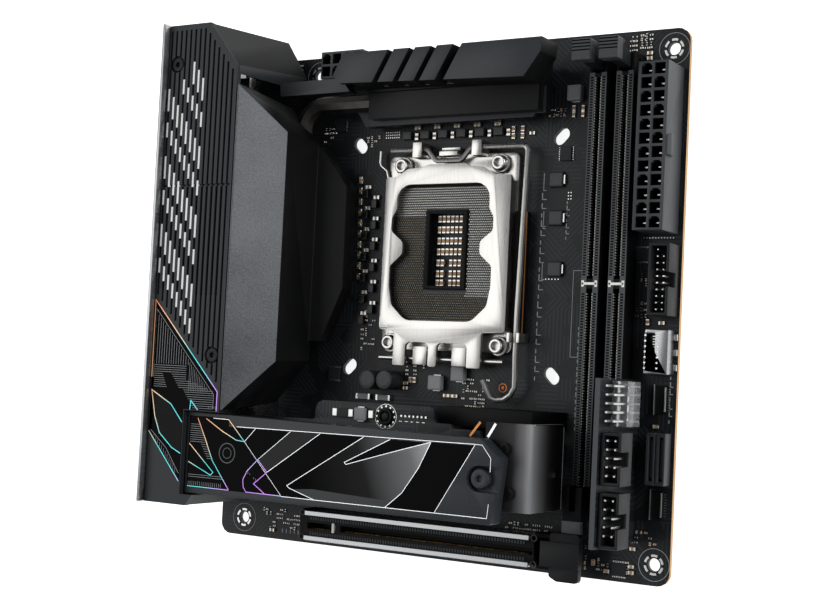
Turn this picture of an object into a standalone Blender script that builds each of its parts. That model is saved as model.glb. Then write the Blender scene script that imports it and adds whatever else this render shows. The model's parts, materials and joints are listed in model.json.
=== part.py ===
"""A mini-ITX motherboard lying flat, component side up, as separate sub-parts.

The design is laid out in board coordinates, in millimetres: the origin is the
centre of the circuit board on its top face, +X runs from the rear connectors to
the front edge, +Y towards the processor power connector, and +Z away from the
board. Everything hangs on one empty, which puts the finished assembly with the
centre of its footprint at the world's origin and its lowest faces at Z = 0.
"""

import math

import bmesh
import bpy
from mathutils import Matrix, Vector

MM = 0.001                      # the design is in millimetres, the scene in metres

# Board
GAP = 0.3                       # clearance between touching pieces
BOARD_SIDE = 170.18             # mini-ITX, 6.7 inches
BOARD_THICKNESS = 1.6
BOARD_CORNER = 4.0
HALF = BOARD_SIDE / 2
MOUNT_HOLE = 3.96
MOUNT_SIDE = 5.08               # hole to the front edge
MOUNT_END = 6.35                # hole to the top and bottom edges
MOUNT_REAR = 10.16              # lower rear hole to the rear edge
MOUNT_REAR_UPPER = 33.02        # upper rear hole to the rear edge
PAD_OUTER = 8.0                 # solder ring under each mounting hole
PAD_HEIGHT = 0.2

# Processor socket
SOCKET_X, SOCKET_Y = 5.0, 14.9
COOLER_PITCH = 76.5             # middle of the merged 75 and 78 mm patterns
COOLER_HOLE = 4.0
SOCKET_WIDTH, SOCKET_DEPTH, SOCKET_HEIGHT = 43.6, 49.4, 4.9
SOCKET_RIM = 2.0
FIELD_HEIGHT = 3.5
WELL_WIDTH, WELL_DEPTH = 14.6, 25.4
FRAME_SHEET = 1.6
FRAME_WIDTH = 49.0
FRAME_TOP, FRAME_BOTTOM = 33.4, 31.6    # socket centre to the frame's two ends
SCREW_TOP_X, SCREW_TOP_Y = 18.4, 29.9
SCREW_LOW_X, SCREW_LOW_Y = 20.4, 29.5
SCREW_SHANK, SCREW_HEAD, SCREW_FLANGE = 1.5, 2.5, 3.2   # radii
PLATE_SHEET = 1.2
PLATE_UNDER = 5.7               # underside of the load plate
PLATE_WIDTH = 47.4
PLATE_TOP, PLATE_LOW = 28.8, 25.2
ROD_Y, ROD_Z, ROD_RADIUS = -34.6, 4.0, 0.8
LEVER_Y, LEVER_Z, LEVER_RADIUS = 35.1, 5.0, 0.9
LEVER_REACH = 28.4              # socket centre to the lever's arm
LEVER_CRANK = 4.0
BACKPLATE = 2.5

# Memory slots
SLOT_X = 58.8                   # centre of the first slot
SLOT_PITCH = 8.9
SLOT_WIDTH = 5.8
SLOT_HEIGHT = 8.5
SLOT_TOP, SLOT_LOW, SLOT_END = 70.6, -58.0, -66.8
SLOT_KEY_Y, SLOT_KEY = 5.5, 3.0
SLOT_GROOVE = 2.0
LATCH_WIDTH = 3.2
LATCH_Y, LATCH_Z = 74.2, 4.2    # latch pivot
LATCH_TOP = 22.0

# Graphics card slot
CARD_SLOT_Y = -77.6
CARD_SLOT_LEFT, CARD_SLOT_RIGHT = -42.8, 45.8
CARD_SLOT_HEIGHT = 11.0
CARD_SLOT_WIDTH = 10.9
CARD_GROOVE = 2.0
ARMOUR_SHEET = 1.1
ARMOUR_WIDTH = 9.6
PADDLE_PIVOT_X, PADDLE_PIVOT_Z = 48.2, 4.2
PADDLE_REACH = 8.1              # the longer wing, from the slot's middle

# Connectors along the front edge
ATX_X, ATX_Y, ATX_WIDTH, ATX_LENGTH, ATX_HEIGHT = 78.8, 46.85, 9.6, 50.9, 13.5
EPS_X, EPS_Y, EPS_WIDTH, EPS_LENGTH = -33.9, 79.0, 16.8, 9.2
USB3_X, USB3_Y, USB3_WIDTH, USB3_LENGTH, USB3_HEIGHT = 81.1, 7.1, 6.6, 21.8, 9.0
TYPE_C_X, TYPE_C_Y, TYPE_C_WIDTH, TYPE_C_LENGTH, TYPE_C_HEIGHT = 80.0, -14.6, 7.6, 13.5, 5.6
RISER_X, RISER_TOP, RISER_Y0, RISER_Y1 = 72.3, 30.0, -72.6, -23.3

# Heatsinks and covers
COVER_TOP = 40.0
COVER_WALL = 2.0
COVER_LEFT = -(HALF + 2.11)     # the rear pieces hang on the board's rear edge
COVER_RIGHT = -57.4
COVER_NORTH, COVER_SOUTH = 90.2, -72.0
SLOPE_FOOT = 27.0
VRM_EDGE = -44.0
TOP_SINK_HEIGHT = 26.0
SINK_GROOVE_STEP = 8.0           # from one slanting groove to the next
FAN_X, FAN_Y, FAN_SIDE, FAN_RADIUS = -73.0, 19.0, 26.0, 11.4
M2_TOP, M2_THICKNESS = 38.0, 6.2
M2_LEFT, M2_RIGHT = -71.7, 45.6
M2_NORTH, M2_SOUTH = -41.0, -67.9
M2_SCREW_X, M2_SCREW_Y = 38.9, -54.7
M2_SCREW_SINK = 3.2            # depth of the screw's recess
HEAT_PLATE_TOP, HEAT_PLATE_SHEET = 30.9, 1.2
RISER_CARD_TOP, RISER_CARD_SHEET = 22.6, 1.6
STANDOFF_X, STANDOFF_Y = -3.6, -38.8

# Rear
SHIELD_OUT = -(HALF + 3.51)
SHIELD_SHEET = 1.0
SHIELD_TOP = 42.4
PORT_FRONT = -(HALF + 4.11)
JACK_FRONT = -(HALF + 11.91)
JACK_BACK = -(HALF - 0.69)
JACK_RADIUS = 3.1
JACK_Z = 8.0
JACK_Y = (-30.4, -40.6)
MODULE_LEFT, MODULE_DEPTH = -(HALF - 1.09), 21.0
AUDIO_DEPTH, AUDIO_HEIGHT, AUDIO_BORE = 14.2, 12.0, 1.8
BUTTON_Y, BUTTON_RADIUS, BUTTON_BORE = -17.7, 1.7, 2.0
BUTTON_LENGTH, BUTTON_X = 8.6, -(HALF + 0.51)
FLASH_Z, CLEAR_Z = 13.0, 5.2
HOUSING_DEPTH, HOUSING_HEIGHT = 11.2, 18.0

UNDER = BOARD_THICKNESS + GAP + BACKPLATE       # board top down to the lowest face
SOUTH_EDGE = CARD_SLOT_Y - PADDLE_REACH         # the card latch sticks out past the board


def new_collection(name):
    collection = bpy.data.collections.new(name)
    bpy.context.scene.collection.children.link(collection)
    return collection


def clear_scene():
    for item in list(bpy.context.scene.objects):
        bpy.data.objects.remove(item, do_unlink=True)


clear_scene()
PARTS = new_collection("motherboard")
CUTTERS = new_collection("cutters")

datum = bpy.data.objects.new("board_datum", None)
PARTS.objects.link(datum)
datum.location = Vector((-(JACK_FRONT + HALF) / 2, -(SOUTH_EDGE + COVER_NORTH + GAP) / 2, UNDER)) * MM


# Materials

def finish(name, colour, roughness, metallic=0.0, transmission=0.0):
    material = bpy.data.materials.new(name)
    material.use_nodes = True
    shader = material.node_tree.nodes["Principled BSDF"]
    shader.inputs["Base Color"].default_value = (*colour, 1.0)
    shader.inputs["Roughness"].default_value = roughness
    shader.inputs["Metallic"].default_value = metallic
    shader.inputs["Transmission Weight"].default_value = transmission
    return material


SOLDER_MASK = finish("black_solder_mask", (0.012, 0.013, 0.014), 0.45)
BLACK_PLASTIC = finish("black_nylon", (0.016, 0.016, 0.018), 0.5)
GREY_PLASTIC = finish("grey_nylon", (0.035, 0.036, 0.04), 0.45)
CLEAR_PLASTIC = finish("clear_plastic", (0.5, 0.5, 0.5), 0.2, 0.0, 0.7)
NICKEL = finish("nickel_plated_steel", (0.75, 0.74, 0.72), 0.22, 1.0)
STAINLESS = finish("stainless_steel", (0.62, 0.62, 0.62), 0.28, 1.0)
ANODISED = finish("black_anodised_aluminium", (0.04, 0.042, 0.047), 0.42, 0.8)
COVER_PAINT = finish("painted_cover", (0.03, 0.032, 0.038), 0.5)
DARK_CHROME = finish("dark_chrome", (0.2, 0.2, 0.2), 0.15, 1.0)
COPPER_PIPE = finish("nickel_heat_pipe", (0.6, 0.58, 0.55), 0.25, 1.0)
PAD_GREY = finish("thermal_pad", (0.32, 0.33, 0.35), 0.9)
SILICON = finish("chip_package", (0.02, 0.02, 0.022), 0.35)
GOLD = finish("gold_plated_brass", (0.8, 0.6, 0.25), 0.25, 1.0)


# Modelling helpers, all in board millimetres

def new_object(name, mesh, material=None):
    item = bpy.data.objects.new(name, mesh)
    item.parent = datum
    if material is None:
        item.hide_render = True
        item.display_type = "WIRE"
        CUTTERS.objects.link(item)
    else:
        mesh.materials.append(material)
        PARTS.objects.link(item)
    return item


def from_bmesh(name, bm, material=None):
    bmesh.ops.recalc_face_normals(bm, faces=bm.faces)
    mesh = bpy.data.meshes.new(name)
    bm.to_mesh(mesh)
    bm.free()
    return new_object(name, mesh, material)


def box(name, x, y, z, material=None):
    """A box between two values along each axis."""
    bm = bmesh.new()
    bmesh.ops.create_cube(bm, size=MM)
    low, high = Vector((x[0], y[0], z[0])), Vector((x[1], y[1], z[1]))
    bmesh.ops.scale(bm, vec=high - low, verts=bm.verts)
    bmesh.ops.translate(bm, vec=(low + high) / 2 * MM, verts=bm.verts)
    return from_bmesh(name, bm, material)


def boxes(name, spans):
    """Several separate boxes in one cutter."""
    bm = bmesh.new()
    for x, y, z in spans:
        low, high = Vector((x[0], y[0], z[0])), Vector((x[1], y[1], z[1]))
        grown = bmesh.ops.create_cube(bm, size=MM)["verts"]
        bmesh.ops.scale(bm, vec=high - low, verts=grown)
        bmesh.ops.translate(bm, vec=(low + high) / 2 * MM, verts=grown)
    return from_bmesh(name, bm)


def cylinder(name, centre, radius, length, axis="Z", material=None, segments=24):
    """A cylinder whose middle is at centre."""
    bm = bmesh.new()
    bmesh.ops.create_cone(bm, cap_ends=True, segments=segments, radius1=radius * MM,
                          radius2=radius * MM, depth=length * MM)
    if axis == "X":
        bmesh.ops.rotate(bm, matrix=Matrix.Rotation(math.pi / 2, 3, "Y"), verts=bm.verts)
    if axis == "Y":
        bmesh.ops.rotate(bm, matrix=Matrix.Rotation(math.pi / 2, 3, "X"), verts=bm.verts)
    bmesh.ops.translate(bm, vec=Vector(centre) * MM, verts=bm.verts)
    item = from_bmesh(name, bm, material)
    item.data.shade_smooth()
    item.data.set_sharp_from_angle(angle=math.radians(40))
    return item


def turned(name, centre, profile, material, steps=20):
    """A turned piece: (radius, height) points down its outer side, spun about Z."""
    mesh = bpy.data.meshes.new(name)
    points = [(r * MM, 0.0, z * MM) for r, z in profile]
    mesh.from_pydata(points, [(i, i + 1) for i in range(len(points) - 1)], [])
    item = new_object(name, mesh, material)
    item.location = Vector(centre) * MM
    spin = item.modifiers.new("spin", "SCREW")
    spin.steps = spin.render_steps = steps
    spin.use_merge_vertices = True
    spin.merge_threshold = 0.00001
    spin.use_smooth_shade = False
    return item


def to_mesh(curve_object, name, material):
    """Make a filled curve a welded mesh in the same place."""
    bpy.context.view_layer.update()
    graph = bpy.context.evaluated_depsgraph_get()
    mesh = bpy.data.meshes.new_from_object(curve_object.evaluated_get(graph))
    mesh.transform(curve_object.matrix_world)
    bpy.data.objects.remove(curve_object, do_unlink=True)
    bm = bmesh.new()
    bm.from_mesh(mesh)
    bpy.data.meshes.remove(mesh)
    bmesh.ops.remove_doubles(bm, verts=bm.verts, dist=0.00001)
    return from_bmesh(name, bm, material)


def prism(name, outline, span, material=None, holes=(), axis="Z"):
    """A flat outline with holes, extruded along an axis between two values.

    Along Z the outline is (x, y), along X it is (y, z), and along Y it is (x, z).
    """
    curve = bpy.data.curves.new(name, "CURVE")
    curve.dimensions = "2D"
    curve.fill_mode = "BOTH"
    curve.extrude = (span[1] - span[0]) / 2 * MM
    for loop in (outline, *holes):
        spline = curve.splines.new("POLY")
        spline.points.add(len(loop) - 1)
        for point, (u, v) in zip(spline.points, loop):
            point.co = (u * MM, v * MM, 0.0, 1.0)
        spline.use_cyclic_u = True
    item = bpy.data.objects.new(name, curve)
    bpy.context.scene.collection.objects.link(item)
    middle = (span[0] + span[1]) / 2 * MM
    turns = {"Z": Matrix.Identity(4),
             "X": Matrix(((0, 0, 1, 0), (1, 0, 0, 0), (0, 1, 0, 0), (0, 0, 0, 1))),
             "Y": Matrix(((1, 0, 0, 0), (0, 0, -1, 0), (0, 1, 0, 0), (0, 0, 0, 1)))}
    shift = {"Z": (0, 0, middle), "X": (middle, 0, 0), "Y": (0, middle, 0)}
    item.matrix_world = Matrix.Translation(shift[axis]) @ turns[axis]
    return to_mesh(item, name, material)


def wire(name, points, radius, material=None, resolution=2):
    """A round wire or tube along points."""
    curve = bpy.data.curves.new(name, "CURVE")
    curve.dimensions = "3D"
    curve.bevel_depth = radius * MM
    curve.bevel_resolution = resolution
    curve.use_fill_caps = True
    spline = curve.splines.new("POLY")
    spline.points.add(len(points) - 1)
    for point, place in zip(spline.points, points):
        point.co = (*(Vector(place) * MM), 1.0)
    item = bpy.data.objects.new(name, curve)
    bpy.context.scene.collection.objects.link(item)
    made = to_mesh(item, name, material)
    made.data.shade_smooth()
    return made


def hull(name, points, material=None):
    """The flat-sided solid around a few corners."""
    bm = bmesh.new()
    for point in points:
        bm.verts.new(Vector(point) * MM)
    result = bmesh.ops.convex_hull(bm, input=bm.verts)
    spare = set(result["geom_interior"]) | set(result["geom_unused"])
    bmesh.ops.delete(bm, geom=[v for v in spare if isinstance(v, bmesh.types.BMVert)], context="VERTS")
    bmesh.ops.dissolve_limit(bm, angle_limit=0.001, verts=bm.verts, edges=bm.edges)
    return from_bmesh(name, bm, material)


def combine(target, operand, operation):
    """Cut or join a piece with another, which becomes a guide."""
    operand.hide_render = True
    operand.display_type = "WIRE"
    if operand.name in PARTS.objects:
        PARTS.objects.unlink(operand)
        CUTTERS.objects.link(operand)
    modifier = target.modifiers.new(operand.name, "BOOLEAN")
    modifier.operation = operation
    modifier.solver = "EXACT"
    modifier.object = operand
    return target


def cut(target, *cutters):
    for cutter in cutters:
        combine(target, cutter, "DIFFERENCE")
    return target


def join(target, *pieces):
    for piece in pieces:
        combine(target, piece, "UNION")
    return target


def set_pivot(item, point):
    """Put a moving piece's origin on its joint's axis."""
    place = Vector(point) * MM
    item.data.transform(Matrix.Translation(item.location - place))
    item.location = place
    return item


def circle(x, y, radius, segments=24):
    step = 2 * math.pi / segments
    return [(x + radius * math.cos(i * step), y + radius * math.sin(i * step)) for i in range(segments)]


def capsule(x, y, radius, reach, angle, segments=8):
    """Two half circles a given distance apart, the outline of two merged holes."""
    points = []
    for side in (0, 1):
        turn = angle + math.pi * side
        cx, cy = x + math.cos(turn) * reach / 2, y + math.sin(turn) * reach / 2
        for i in range(segments + 1):
            a = turn - math.pi / 2 + math.pi * i / segments
            points.append((cx + radius * math.cos(a), cy + radius * math.sin(a)))
    return points


def rectangle(x, y, radius=0.0):
    corners = [(x[0], y[0]), (x[1], y[0]), (x[1], y[1]), (x[0], y[1])]
    return rounded([(u, v, radius) for u, v in corners]) if radius else corners


def rounded(corners, steps=4):
    """A polygon of (x, y, radius) corners with each corner replaced by an arc."""
    outline = []
    count = len(corners)
    for i, (x, y, radius) in enumerate(corners):
        here = Vector((x, y))
        before = Vector(corners[i - 1][:2]) - here
        after = Vector(corners[(i + 1) % count][:2]) - here
        half = before.angle(after) / 2
        reach = radius / math.tan(half)
        if radius <= 0.0 or half > math.radians(88):
            outline.append((x, y))
            continue
        first = here + before.normalized() * reach
        last = here + after.normalized() * reach
        centre = here + (before.normalized() + after.normalized()).normalized() * (radius / math.sin(half))
        for step in range(steps + 1):
            t = step / steps
            point = centre + (first.lerp(last, t) - centre).normalized() * radius
            outline.append((point.x, point.y))
    return outline


# Board

def mounting_holes():
    return [(HALF - MOUNT_SIDE, HALF - MOUNT_END), (HALF - MOUNT_SIDE, MOUNT_END - HALF),
            (MOUNT_REAR - HALF, MOUNT_END - HALF), (MOUNT_REAR_UPPER - HALF, HALF - MOUNT_END)]


def socket_screws():
    return [(SOCKET_X - SCREW_TOP_X, SOCKET_Y + SCREW_TOP_Y),
            (SOCKET_X + SCREW_TOP_X, SOCKET_Y + SCREW_TOP_Y),
            (SOCKET_X - SCREW_LOW_X, SOCKET_Y - SCREW_LOW_Y),
            (SOCKET_X + SCREW_LOW_X, SOCKET_Y - SCREW_LOW_Y)]


def make_board():
    holes = [circle(x, y, MOUNT_HOLE / 2) for x, y in mounting_holes()]
    merged = (78.0 - 75.0) / 2 * math.sqrt(2)
    for sx in (-1, 1):
        for sy in (-1, 1):
            holes.append(capsule(SOCKET_X + sx * COOLER_PITCH / 2, SOCKET_Y + sy * COOLER_PITCH / 2,
                                 COOLER_HOLE / 2, merged, math.atan2(sy, sx)))
    holes += [circle(x, y, SCREW_SHANK + GAP, 16) for x, y in socket_screws()]
    board = prism("circuit_board", rectangle((-HALF, HALF), (-HALF, HALF), BOARD_CORNER),
                  (-BOARD_THICKNESS, 0.0), SOLDER_MASK, holes)
    for number, (x, y) in enumerate(mounting_holes(), 1):
        ring = prism(f"solder_ring_{number}", circle(x, y, PAD_OUTER / 2),
                     (-BOARD_THICKNESS - PAD_HEIGHT, -BOARD_THICKNESS / 2), None,
                     [circle(x, y, MOUNT_HOLE / 2 + 0.3)])
        join(board, ring)
    return board


# Socket

def make_socket():
    x = (SOCKET_X - SOCKET_WIDTH / 2, SOCKET_X + SOCKET_WIDTH / 2)
    y = (SOCKET_Y - SOCKET_DEPTH / 2, SOCKET_Y + SOCKET_DEPTH / 2)
    body = box("cpu_socket", x, y, (GAP, SOCKET_HEIGHT), BLACK_PLASTIC)
    field = box("contact_field", (x[0] + SOCKET_RIM, x[1] - SOCKET_RIM),
                (y[0] + SOCKET_RIM, y[1] - SOCKET_RIM),
                (FIELD_HEIGHT, SOCKET_HEIGHT + 1))
    well = box("socket_well", (SOCKET_X - WELL_WIDTH / 2, SOCKET_X + WELL_WIDTH / 2),
               (SOCKET_Y - WELL_DEPTH / 2 + 1.6, SOCKET_Y + WELL_DEPTH / 2 + 1.6), (-1, SOCKET_HEIGHT))
    return cut(body, field, well)


def make_frame():
    left, right = SOCKET_X - FRAME_WIDTH / 2, SOCKET_X + FRAME_WIDTH / 2
    top, low = SOCKET_Y + FRAME_TOP, SOCKET_Y - FRAME_BOTTOM
    sheet = (GAP, GAP + FRAME_SHEET)
    outline = rounded([(left, low, 2), (right, low, 2), (right, top, 2), (left, top, 2)])
    inside = rectangle((SOCKET_X - SOCKET_WIDTH / 2 - GAP, SOCKET_X + SOCKET_WIDTH / 2 + GAP),
                       (SOCKET_Y - SOCKET_DEPTH / 2 - GAP, SOCKET_Y + SOCKET_DEPTH / 2 + GAP))
    holes = [circle(x, y, SCREW_SHANK + GAP, 16) for x, y in socket_screws()]
    frame = prism("socket_frame", outline, sheet, NICKEL, [inside, *holes])
    lever_y, rod_y = SOCKET_Y + LEVER_Y, SOCKET_Y + ROD_Y
    for side in (-1, 1):
        middle = SOCKET_X + side * 11.2
        block = box("lever_knuckle", (middle - 1.7, middle + 1.7), (top - 1.2, lever_y + 2.1),
                    (GAP + 0.4, LEVER_Z + 2.0))
        join(frame, block)
        middle = SOCKET_X + (-7.3 if side < 0 else 7.4)
        block = box("rod_knuckle", (middle - 2.6, middle + 2.6), (rod_y - 1.9, low + 1.0),
                    (GAP + 0.4, ROD_Z + 1.6))
        join(frame, block)
    tab = box("middle_tab", (SOCKET_X - 3.4, SOCKET_X + 3.4), (top - 0.7, lever_y + 0.4),
              (GAP + 0.5, LEVER_Z + 0.6))
    join(frame, tab)
    arm = SOCKET_X + LEVER_REACH - 0.7
    clip_y = (SOCKET_Y - 28.2, SOCKET_Y - 25.2)
    clip = box("lever_clip", (right - 1.0, arm + LEVER_RADIUS + GAP + 1.0), clip_y,
               (GAP + 0.2, LEVER_Z + 2.3))
    notch = box("lever_notch", (arm - LEVER_RADIUS - GAP, arm + LEVER_RADIUS + GAP),
                (clip_y[0] - 1, clip_y[1] + 1), (LEVER_Z - LEVER_RADIUS - GAP, LEVER_Z + 5))
    relief = box("lever_relief", (right - 2.0, arm - LEVER_RADIUS - GAP - 1.0),
                 (clip_y[0] - 1, clip_y[1] + 1),
                 (GAP + FRAME_SHEET + 0.4, LEVER_Z + 5))
    join(frame, cut(clip, notch, relief))
    cut(frame, cylinder("lever_bore", (SOCKET_X, lever_y, LEVER_Z), LEVER_RADIUS + GAP, 40, "X", None, 16))
    cut(frame, cylinder("rod_bore", (SOCKET_X, rod_y, ROD_Z), ROD_RADIUS + GAP, 40, "X", None, 16))
    return frame


def make_load_plate():
    """The pressed plate with its wavy window; it swings on the hinge rod."""
    left, right = SOCKET_X - PLATE_WIDTH / 2 + 0.9, SOCKET_X + PLATE_WIDTH / 2 + 0.7
    top, low, rod = SOCKET_Y + PLATE_TOP, SOCKET_Y - PLATE_LOW, SOCKET_Y + ROD_Y
    outline = [(left, low, 1), (-11.9, low - 0.4, 0.6), (-11.9, rod - 2.4, 0.6), (-7.3, rod - 2.4, 0.6),
               (-7.3, low - 4.0, 1.6), (1.6, low - 4.0, 1.6), (1.6, rod - 2.5, 0.8), (4.7, rod - 2.5, 0.8),
               (4.7, low - 4.0, 1.6), (16.0, low - 4.0, 1.6), (16.0, rod - 2.4, 0.6),
               (21.0, rod - 2.4, 0.6),
               (21.0, low - 0.4, 0.6), (right, low, 1),
               (right, top - 3.2, 1), (23.4, top - 3.0, 1), (18.6, top - 0.4, 1), (14.0, top, 1),
               (12.4, top + 0.9, 0.4), (-1.4, top + 0.9, 0.4),
               (-4.0, top, 1), (-9.4, top - 0.4, 1), (-14.0, top - 3.0, 1), (left, top - 3.0, 1)]
    middle = SOCKET_X - 0.6
    half = [(12.4, -22.1, 5), (18.0, -17.0, 3), (19.2, -10.5, 2), (19.2, -4.0, 1.5), (14.6, 0.0, 2),
            (14.6, 4.0, 2), (19.2, 7.6, 2), (19.2, 12.0, 2), (17.5, 15.0, 1.5), (17.5, 23.2, 5)]
    window = [(middle + dx, SOCKET_Y + dy, r) for dx, dy, r in half]
    window += [(middle - dx, SOCKET_Y + dy, r) for dx, dy, r in reversed(half)]
    sheet = (PLATE_UNDER, PLATE_UNDER + PLATE_SHEET)
    plate = prism("load_plate", rounded(outline, 3), sheet, NICKEL, [rounded(window, 4)])
    for side, edge in ((-1, left), (1, right)):
        inner, outer = sorted((edge - side * 1.0, edge - side * 0.02))
        join(plate, box("side_fold", (inner, outer), (low + 1.5, top - 5),
                        (2.3, PLATE_UNDER + PLATE_SHEET / 2)))
    for start, end in ((-11.7, -7.5), (16.2, 20.8)):
        join(plate, box("finger_fold", (start, end), (rod - 2.35, rod - 1.35),
                        (2.6, PLATE_UNDER + PLATE_SHEET / 2)))
    return set_pivot(plate, (SOCKET_X, rod, ROD_Z))


def make_load_lever():
    """The bent wire that clamps the load plate."""
    y, z, arm = SOCKET_Y + LEVER_Y, LEVER_Z, SOCKET_X + LEVER_REACH
    low = SOCKET_Y - 33.0
    points = [(SOCKET_X - 22.3, y, z), (SOCKET_X - 8.8, y, z), (SOCKET_X - 7.9, y - 0.4, z),
              (SOCKET_X - 5.2, y - LEVER_CRANK + 0.5, z), (SOCKET_X - 4.2, y - LEVER_CRANK, z),
              (SOCKET_X + 4.2, y - LEVER_CRANK, z), (SOCKET_X + 5.2, y - LEVER_CRANK + 0.5, z),
              (SOCKET_X + 7.9, y - 0.4, z), (SOCKET_X + 8.8, y, z), (arm - 1.2, y, z),
              (arm + 0.1, y - 0.5, z), (arm + 0.6, y - 1.8, z), (arm - 0.7, low + 15.0, z),
              (arm - 0.7, low, z)]
    hook = Vector((arm - 6.2, low - 8.0))
    for angle in (14, -14, -42, -70, -98, -120):
        turn = math.radians(angle)
        points.append((hook.x + 5.9 * math.cos(turn), hook.y + 5.9 * math.sin(turn), z))
    points.append((SOCKET_X + 16.6, low - 7.6, z + 0.8))
    lever = wire("load_lever", points, LEVER_RADIUS, NICKEL)
    return set_pivot(lever, (SOCKET_X, y, z))


def make_socket_hardware():
    rod = cylinder("hinge_rod", (SOCKET_X - 0.4, SOCKET_Y + ROD_Y, ROD_Z), ROD_RADIUS, 46.6, "X", STAINLESS,
                   16)
    left, right = SOCKET_X - 23.5, SOCKET_X + 23.5
    top, low = SOCKET_Y + 33.1, SOCKET_Y - 33.1
    outline = rounded([(left, low, 5), (right, low, 5), (right, top, 5), (left, top, 5)])
    inside = rectangle((SOCKET_X - 13, SOCKET_X + 13), (SOCKET_Y - 20, SOCKET_Y + 20), 4)
    holes = [circle(x, y, SCREW_SHANK + GAP, 16) for x, y in socket_screws()]
    prism("socket_backplate", outline, (-UNDER, -BOARD_THICKNESS - GAP), STAINLESS, [inside, *holes])
    seat = 2 * GAP + FRAME_SHEET
    for number, (x, y) in enumerate(socket_screws(), 1):
        profile = [(0, seat + 1.4), (1.4, seat + 1.4), (1.4, seat + 3.1), (SCREW_HEAD - 0.3, seat + 3.1),
                   (SCREW_HEAD, seat + 2.8), (SCREW_HEAD, seat + 1.0), (SCREW_FLANGE, seat + 1.0),
                   (SCREW_FLANGE, seat), (SCREW_SHANK, seat), (SCREW_SHANK, -UNDER + GAP),
                   (0, -UNDER + GAP)]
        turned(f"socket_screw_{number}", (x, y, 0), profile, STAINLESS, 16)
    return rod


# Memory slots

def make_memory_slot(number):
    x = SLOT_X + (number - 1) * SLOT_PITCH
    half = SLOT_WIDTH / 2
    slot = box(f"dimm_slot_{number}", (x - half, x + half), (SLOT_LOW, LATCH_Y + 2.8), (GAP, SLOT_HEIGHT),
               BLACK_PLASTIC)
    join(slot, box("fixed_end", (x - half - 0.2, x + half + 0.2), (SLOT_END, SLOT_LOW + 1.5),
                   (GAP + 0.1, 14.5)))
    groove = SLOT_GROOVE / 2
    spans = [((x - groove, x + groove), (SLOT_END + 3, SLOT_KEY_Y - SLOT_KEY / 2), (4.0, 20)),
             ((x - groove, x + groove), (SLOT_KEY_Y + SLOT_KEY / 2, SLOT_TOP - 1), (4.0, 20))]
    pocket = LATCH_WIDTH / 2 + GAP
    spans.append(((x - pocket, x + pocket), (SLOT_TOP + 0.3, LATCH_Y + 5), (1.2, 20)))
    cut(slot, boxes("slot_grooves", spans))
    return cut(slot, cylinder("latch_bore", (x, LATCH_Y, LATCH_Z), 1.1, 12, "X", None, 12))


def make_memory_latch(number):
    x = SLOT_X + (number - 1) * SLOT_PITCH
    half = LATCH_WIDTH / 2
    turn = [math.radians(a) for a in range(180, 361, 30)]
    outline = [(LATCH_Y + 2.3 * math.cos(a), LATCH_Z + 2.3 * math.sin(a)) for a in turn]
    outline += [(LATCH_Y + 2.3, 10.0), (LATCH_Y + 4.3, LATCH_TOP - 5.0), (LATCH_Y + 4.3, LATCH_TOP - 0.6),
                (LATCH_Y - 1.2, LATCH_TOP - 0.6), (LATCH_Y - 2.0, 15.0)]
    latch = prism(f"dimm_latch_{number}", outline, (x - half, x + half), GREY_PLASTIC, axis="X")
    thumb = prism("thumb", rounded([(LATCH_Y - 2.0, LATCH_TOP - 4.5, 0.4),
                                    (LATCH_Y + 4.5, LATCH_TOP - 6.5, 0.4),
                                    (LATCH_Y + 4.5, LATCH_TOP, 0.6), (LATCH_Y - 2.0, LATCH_TOP, 0.6)]),
                  (x - 2.6, x + 2.6), None, axis="X")
    join(latch, thumb, cylinder("latch_pin", (x, LATCH_Y, LATCH_Z), 0.8, SLOT_WIDTH - 0.8, "X", None, 12))
    return set_pivot(latch, (x, LATCH_Y, LATCH_Z))


# Graphics card slot

def make_card_slot():
    y, half, wall = CARD_SLOT_Y, ARMOUR_WIDTH / 2, ARMOUR_SHEET
    floor = 2 * GAP + 0.5
    inner = half - wall - GAP
    body = box("pcie_slot", (CARD_SLOT_LEFT, CARD_SLOT_RIGHT), (y - inner, y + inner),
               (floor, CARD_SLOT_HEIGHT),
               BLACK_PLASTIC)
    outer = CARD_SLOT_WIDTH / 2
    join(body, box("left_end", (CARD_SLOT_LEFT - 0.1, CARD_SLOT_LEFT + 1.6), (y - outer, y + outer),
                   (GAP, CARD_SLOT_HEIGHT - 0.4)))
    join(body, box("right_end", (CARD_SLOT_RIGHT - 2.0, PADDLE_PIVOT_X + 1.8), (y - outer, y + outer),
                   (GAP, 8.2)))
    groove = CARD_GROOVE / 2
    spans = [((CARD_SLOT_LEFT + 3.0, CARD_SLOT_LEFT + 14.6), (y - groove, y + groove), (4.5, 20)),
             ((CARD_SLOT_LEFT + 16.4, CARD_SLOT_RIGHT - 1.2), (y - groove, y + groove), (4.5, 20)),
             ((CARD_SLOT_RIGHT - 0.6, PADDLE_PIVOT_X + 4), (y - 4.1, y + 4.1), (1.2, 20))]
    cut(body, boxes("card_grooves", spans))
    cut(body, cylinder("paddle_bore", (PADDLE_PIVOT_X, y, PADDLE_PIVOT_Z), 1.1, 14, "Y", None, 12))
    top = CARD_SLOT_HEIGHT + 0.3
    channel = [(y - half, GAP), (y + half, GAP), (y + half, top), (y + half - wall, top),
               (y + half - wall, GAP + 0.5),
               (y - half + wall, GAP + 0.5), (y - half + wall, top), (y - half, top)]
    prism("pcie_slot_armour", channel, (CARD_SLOT_LEFT + 1.6 + GAP, CARD_SLOT_RIGHT - 2.0 - GAP), STAINLESS,
          axis="X")
    return body


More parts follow.
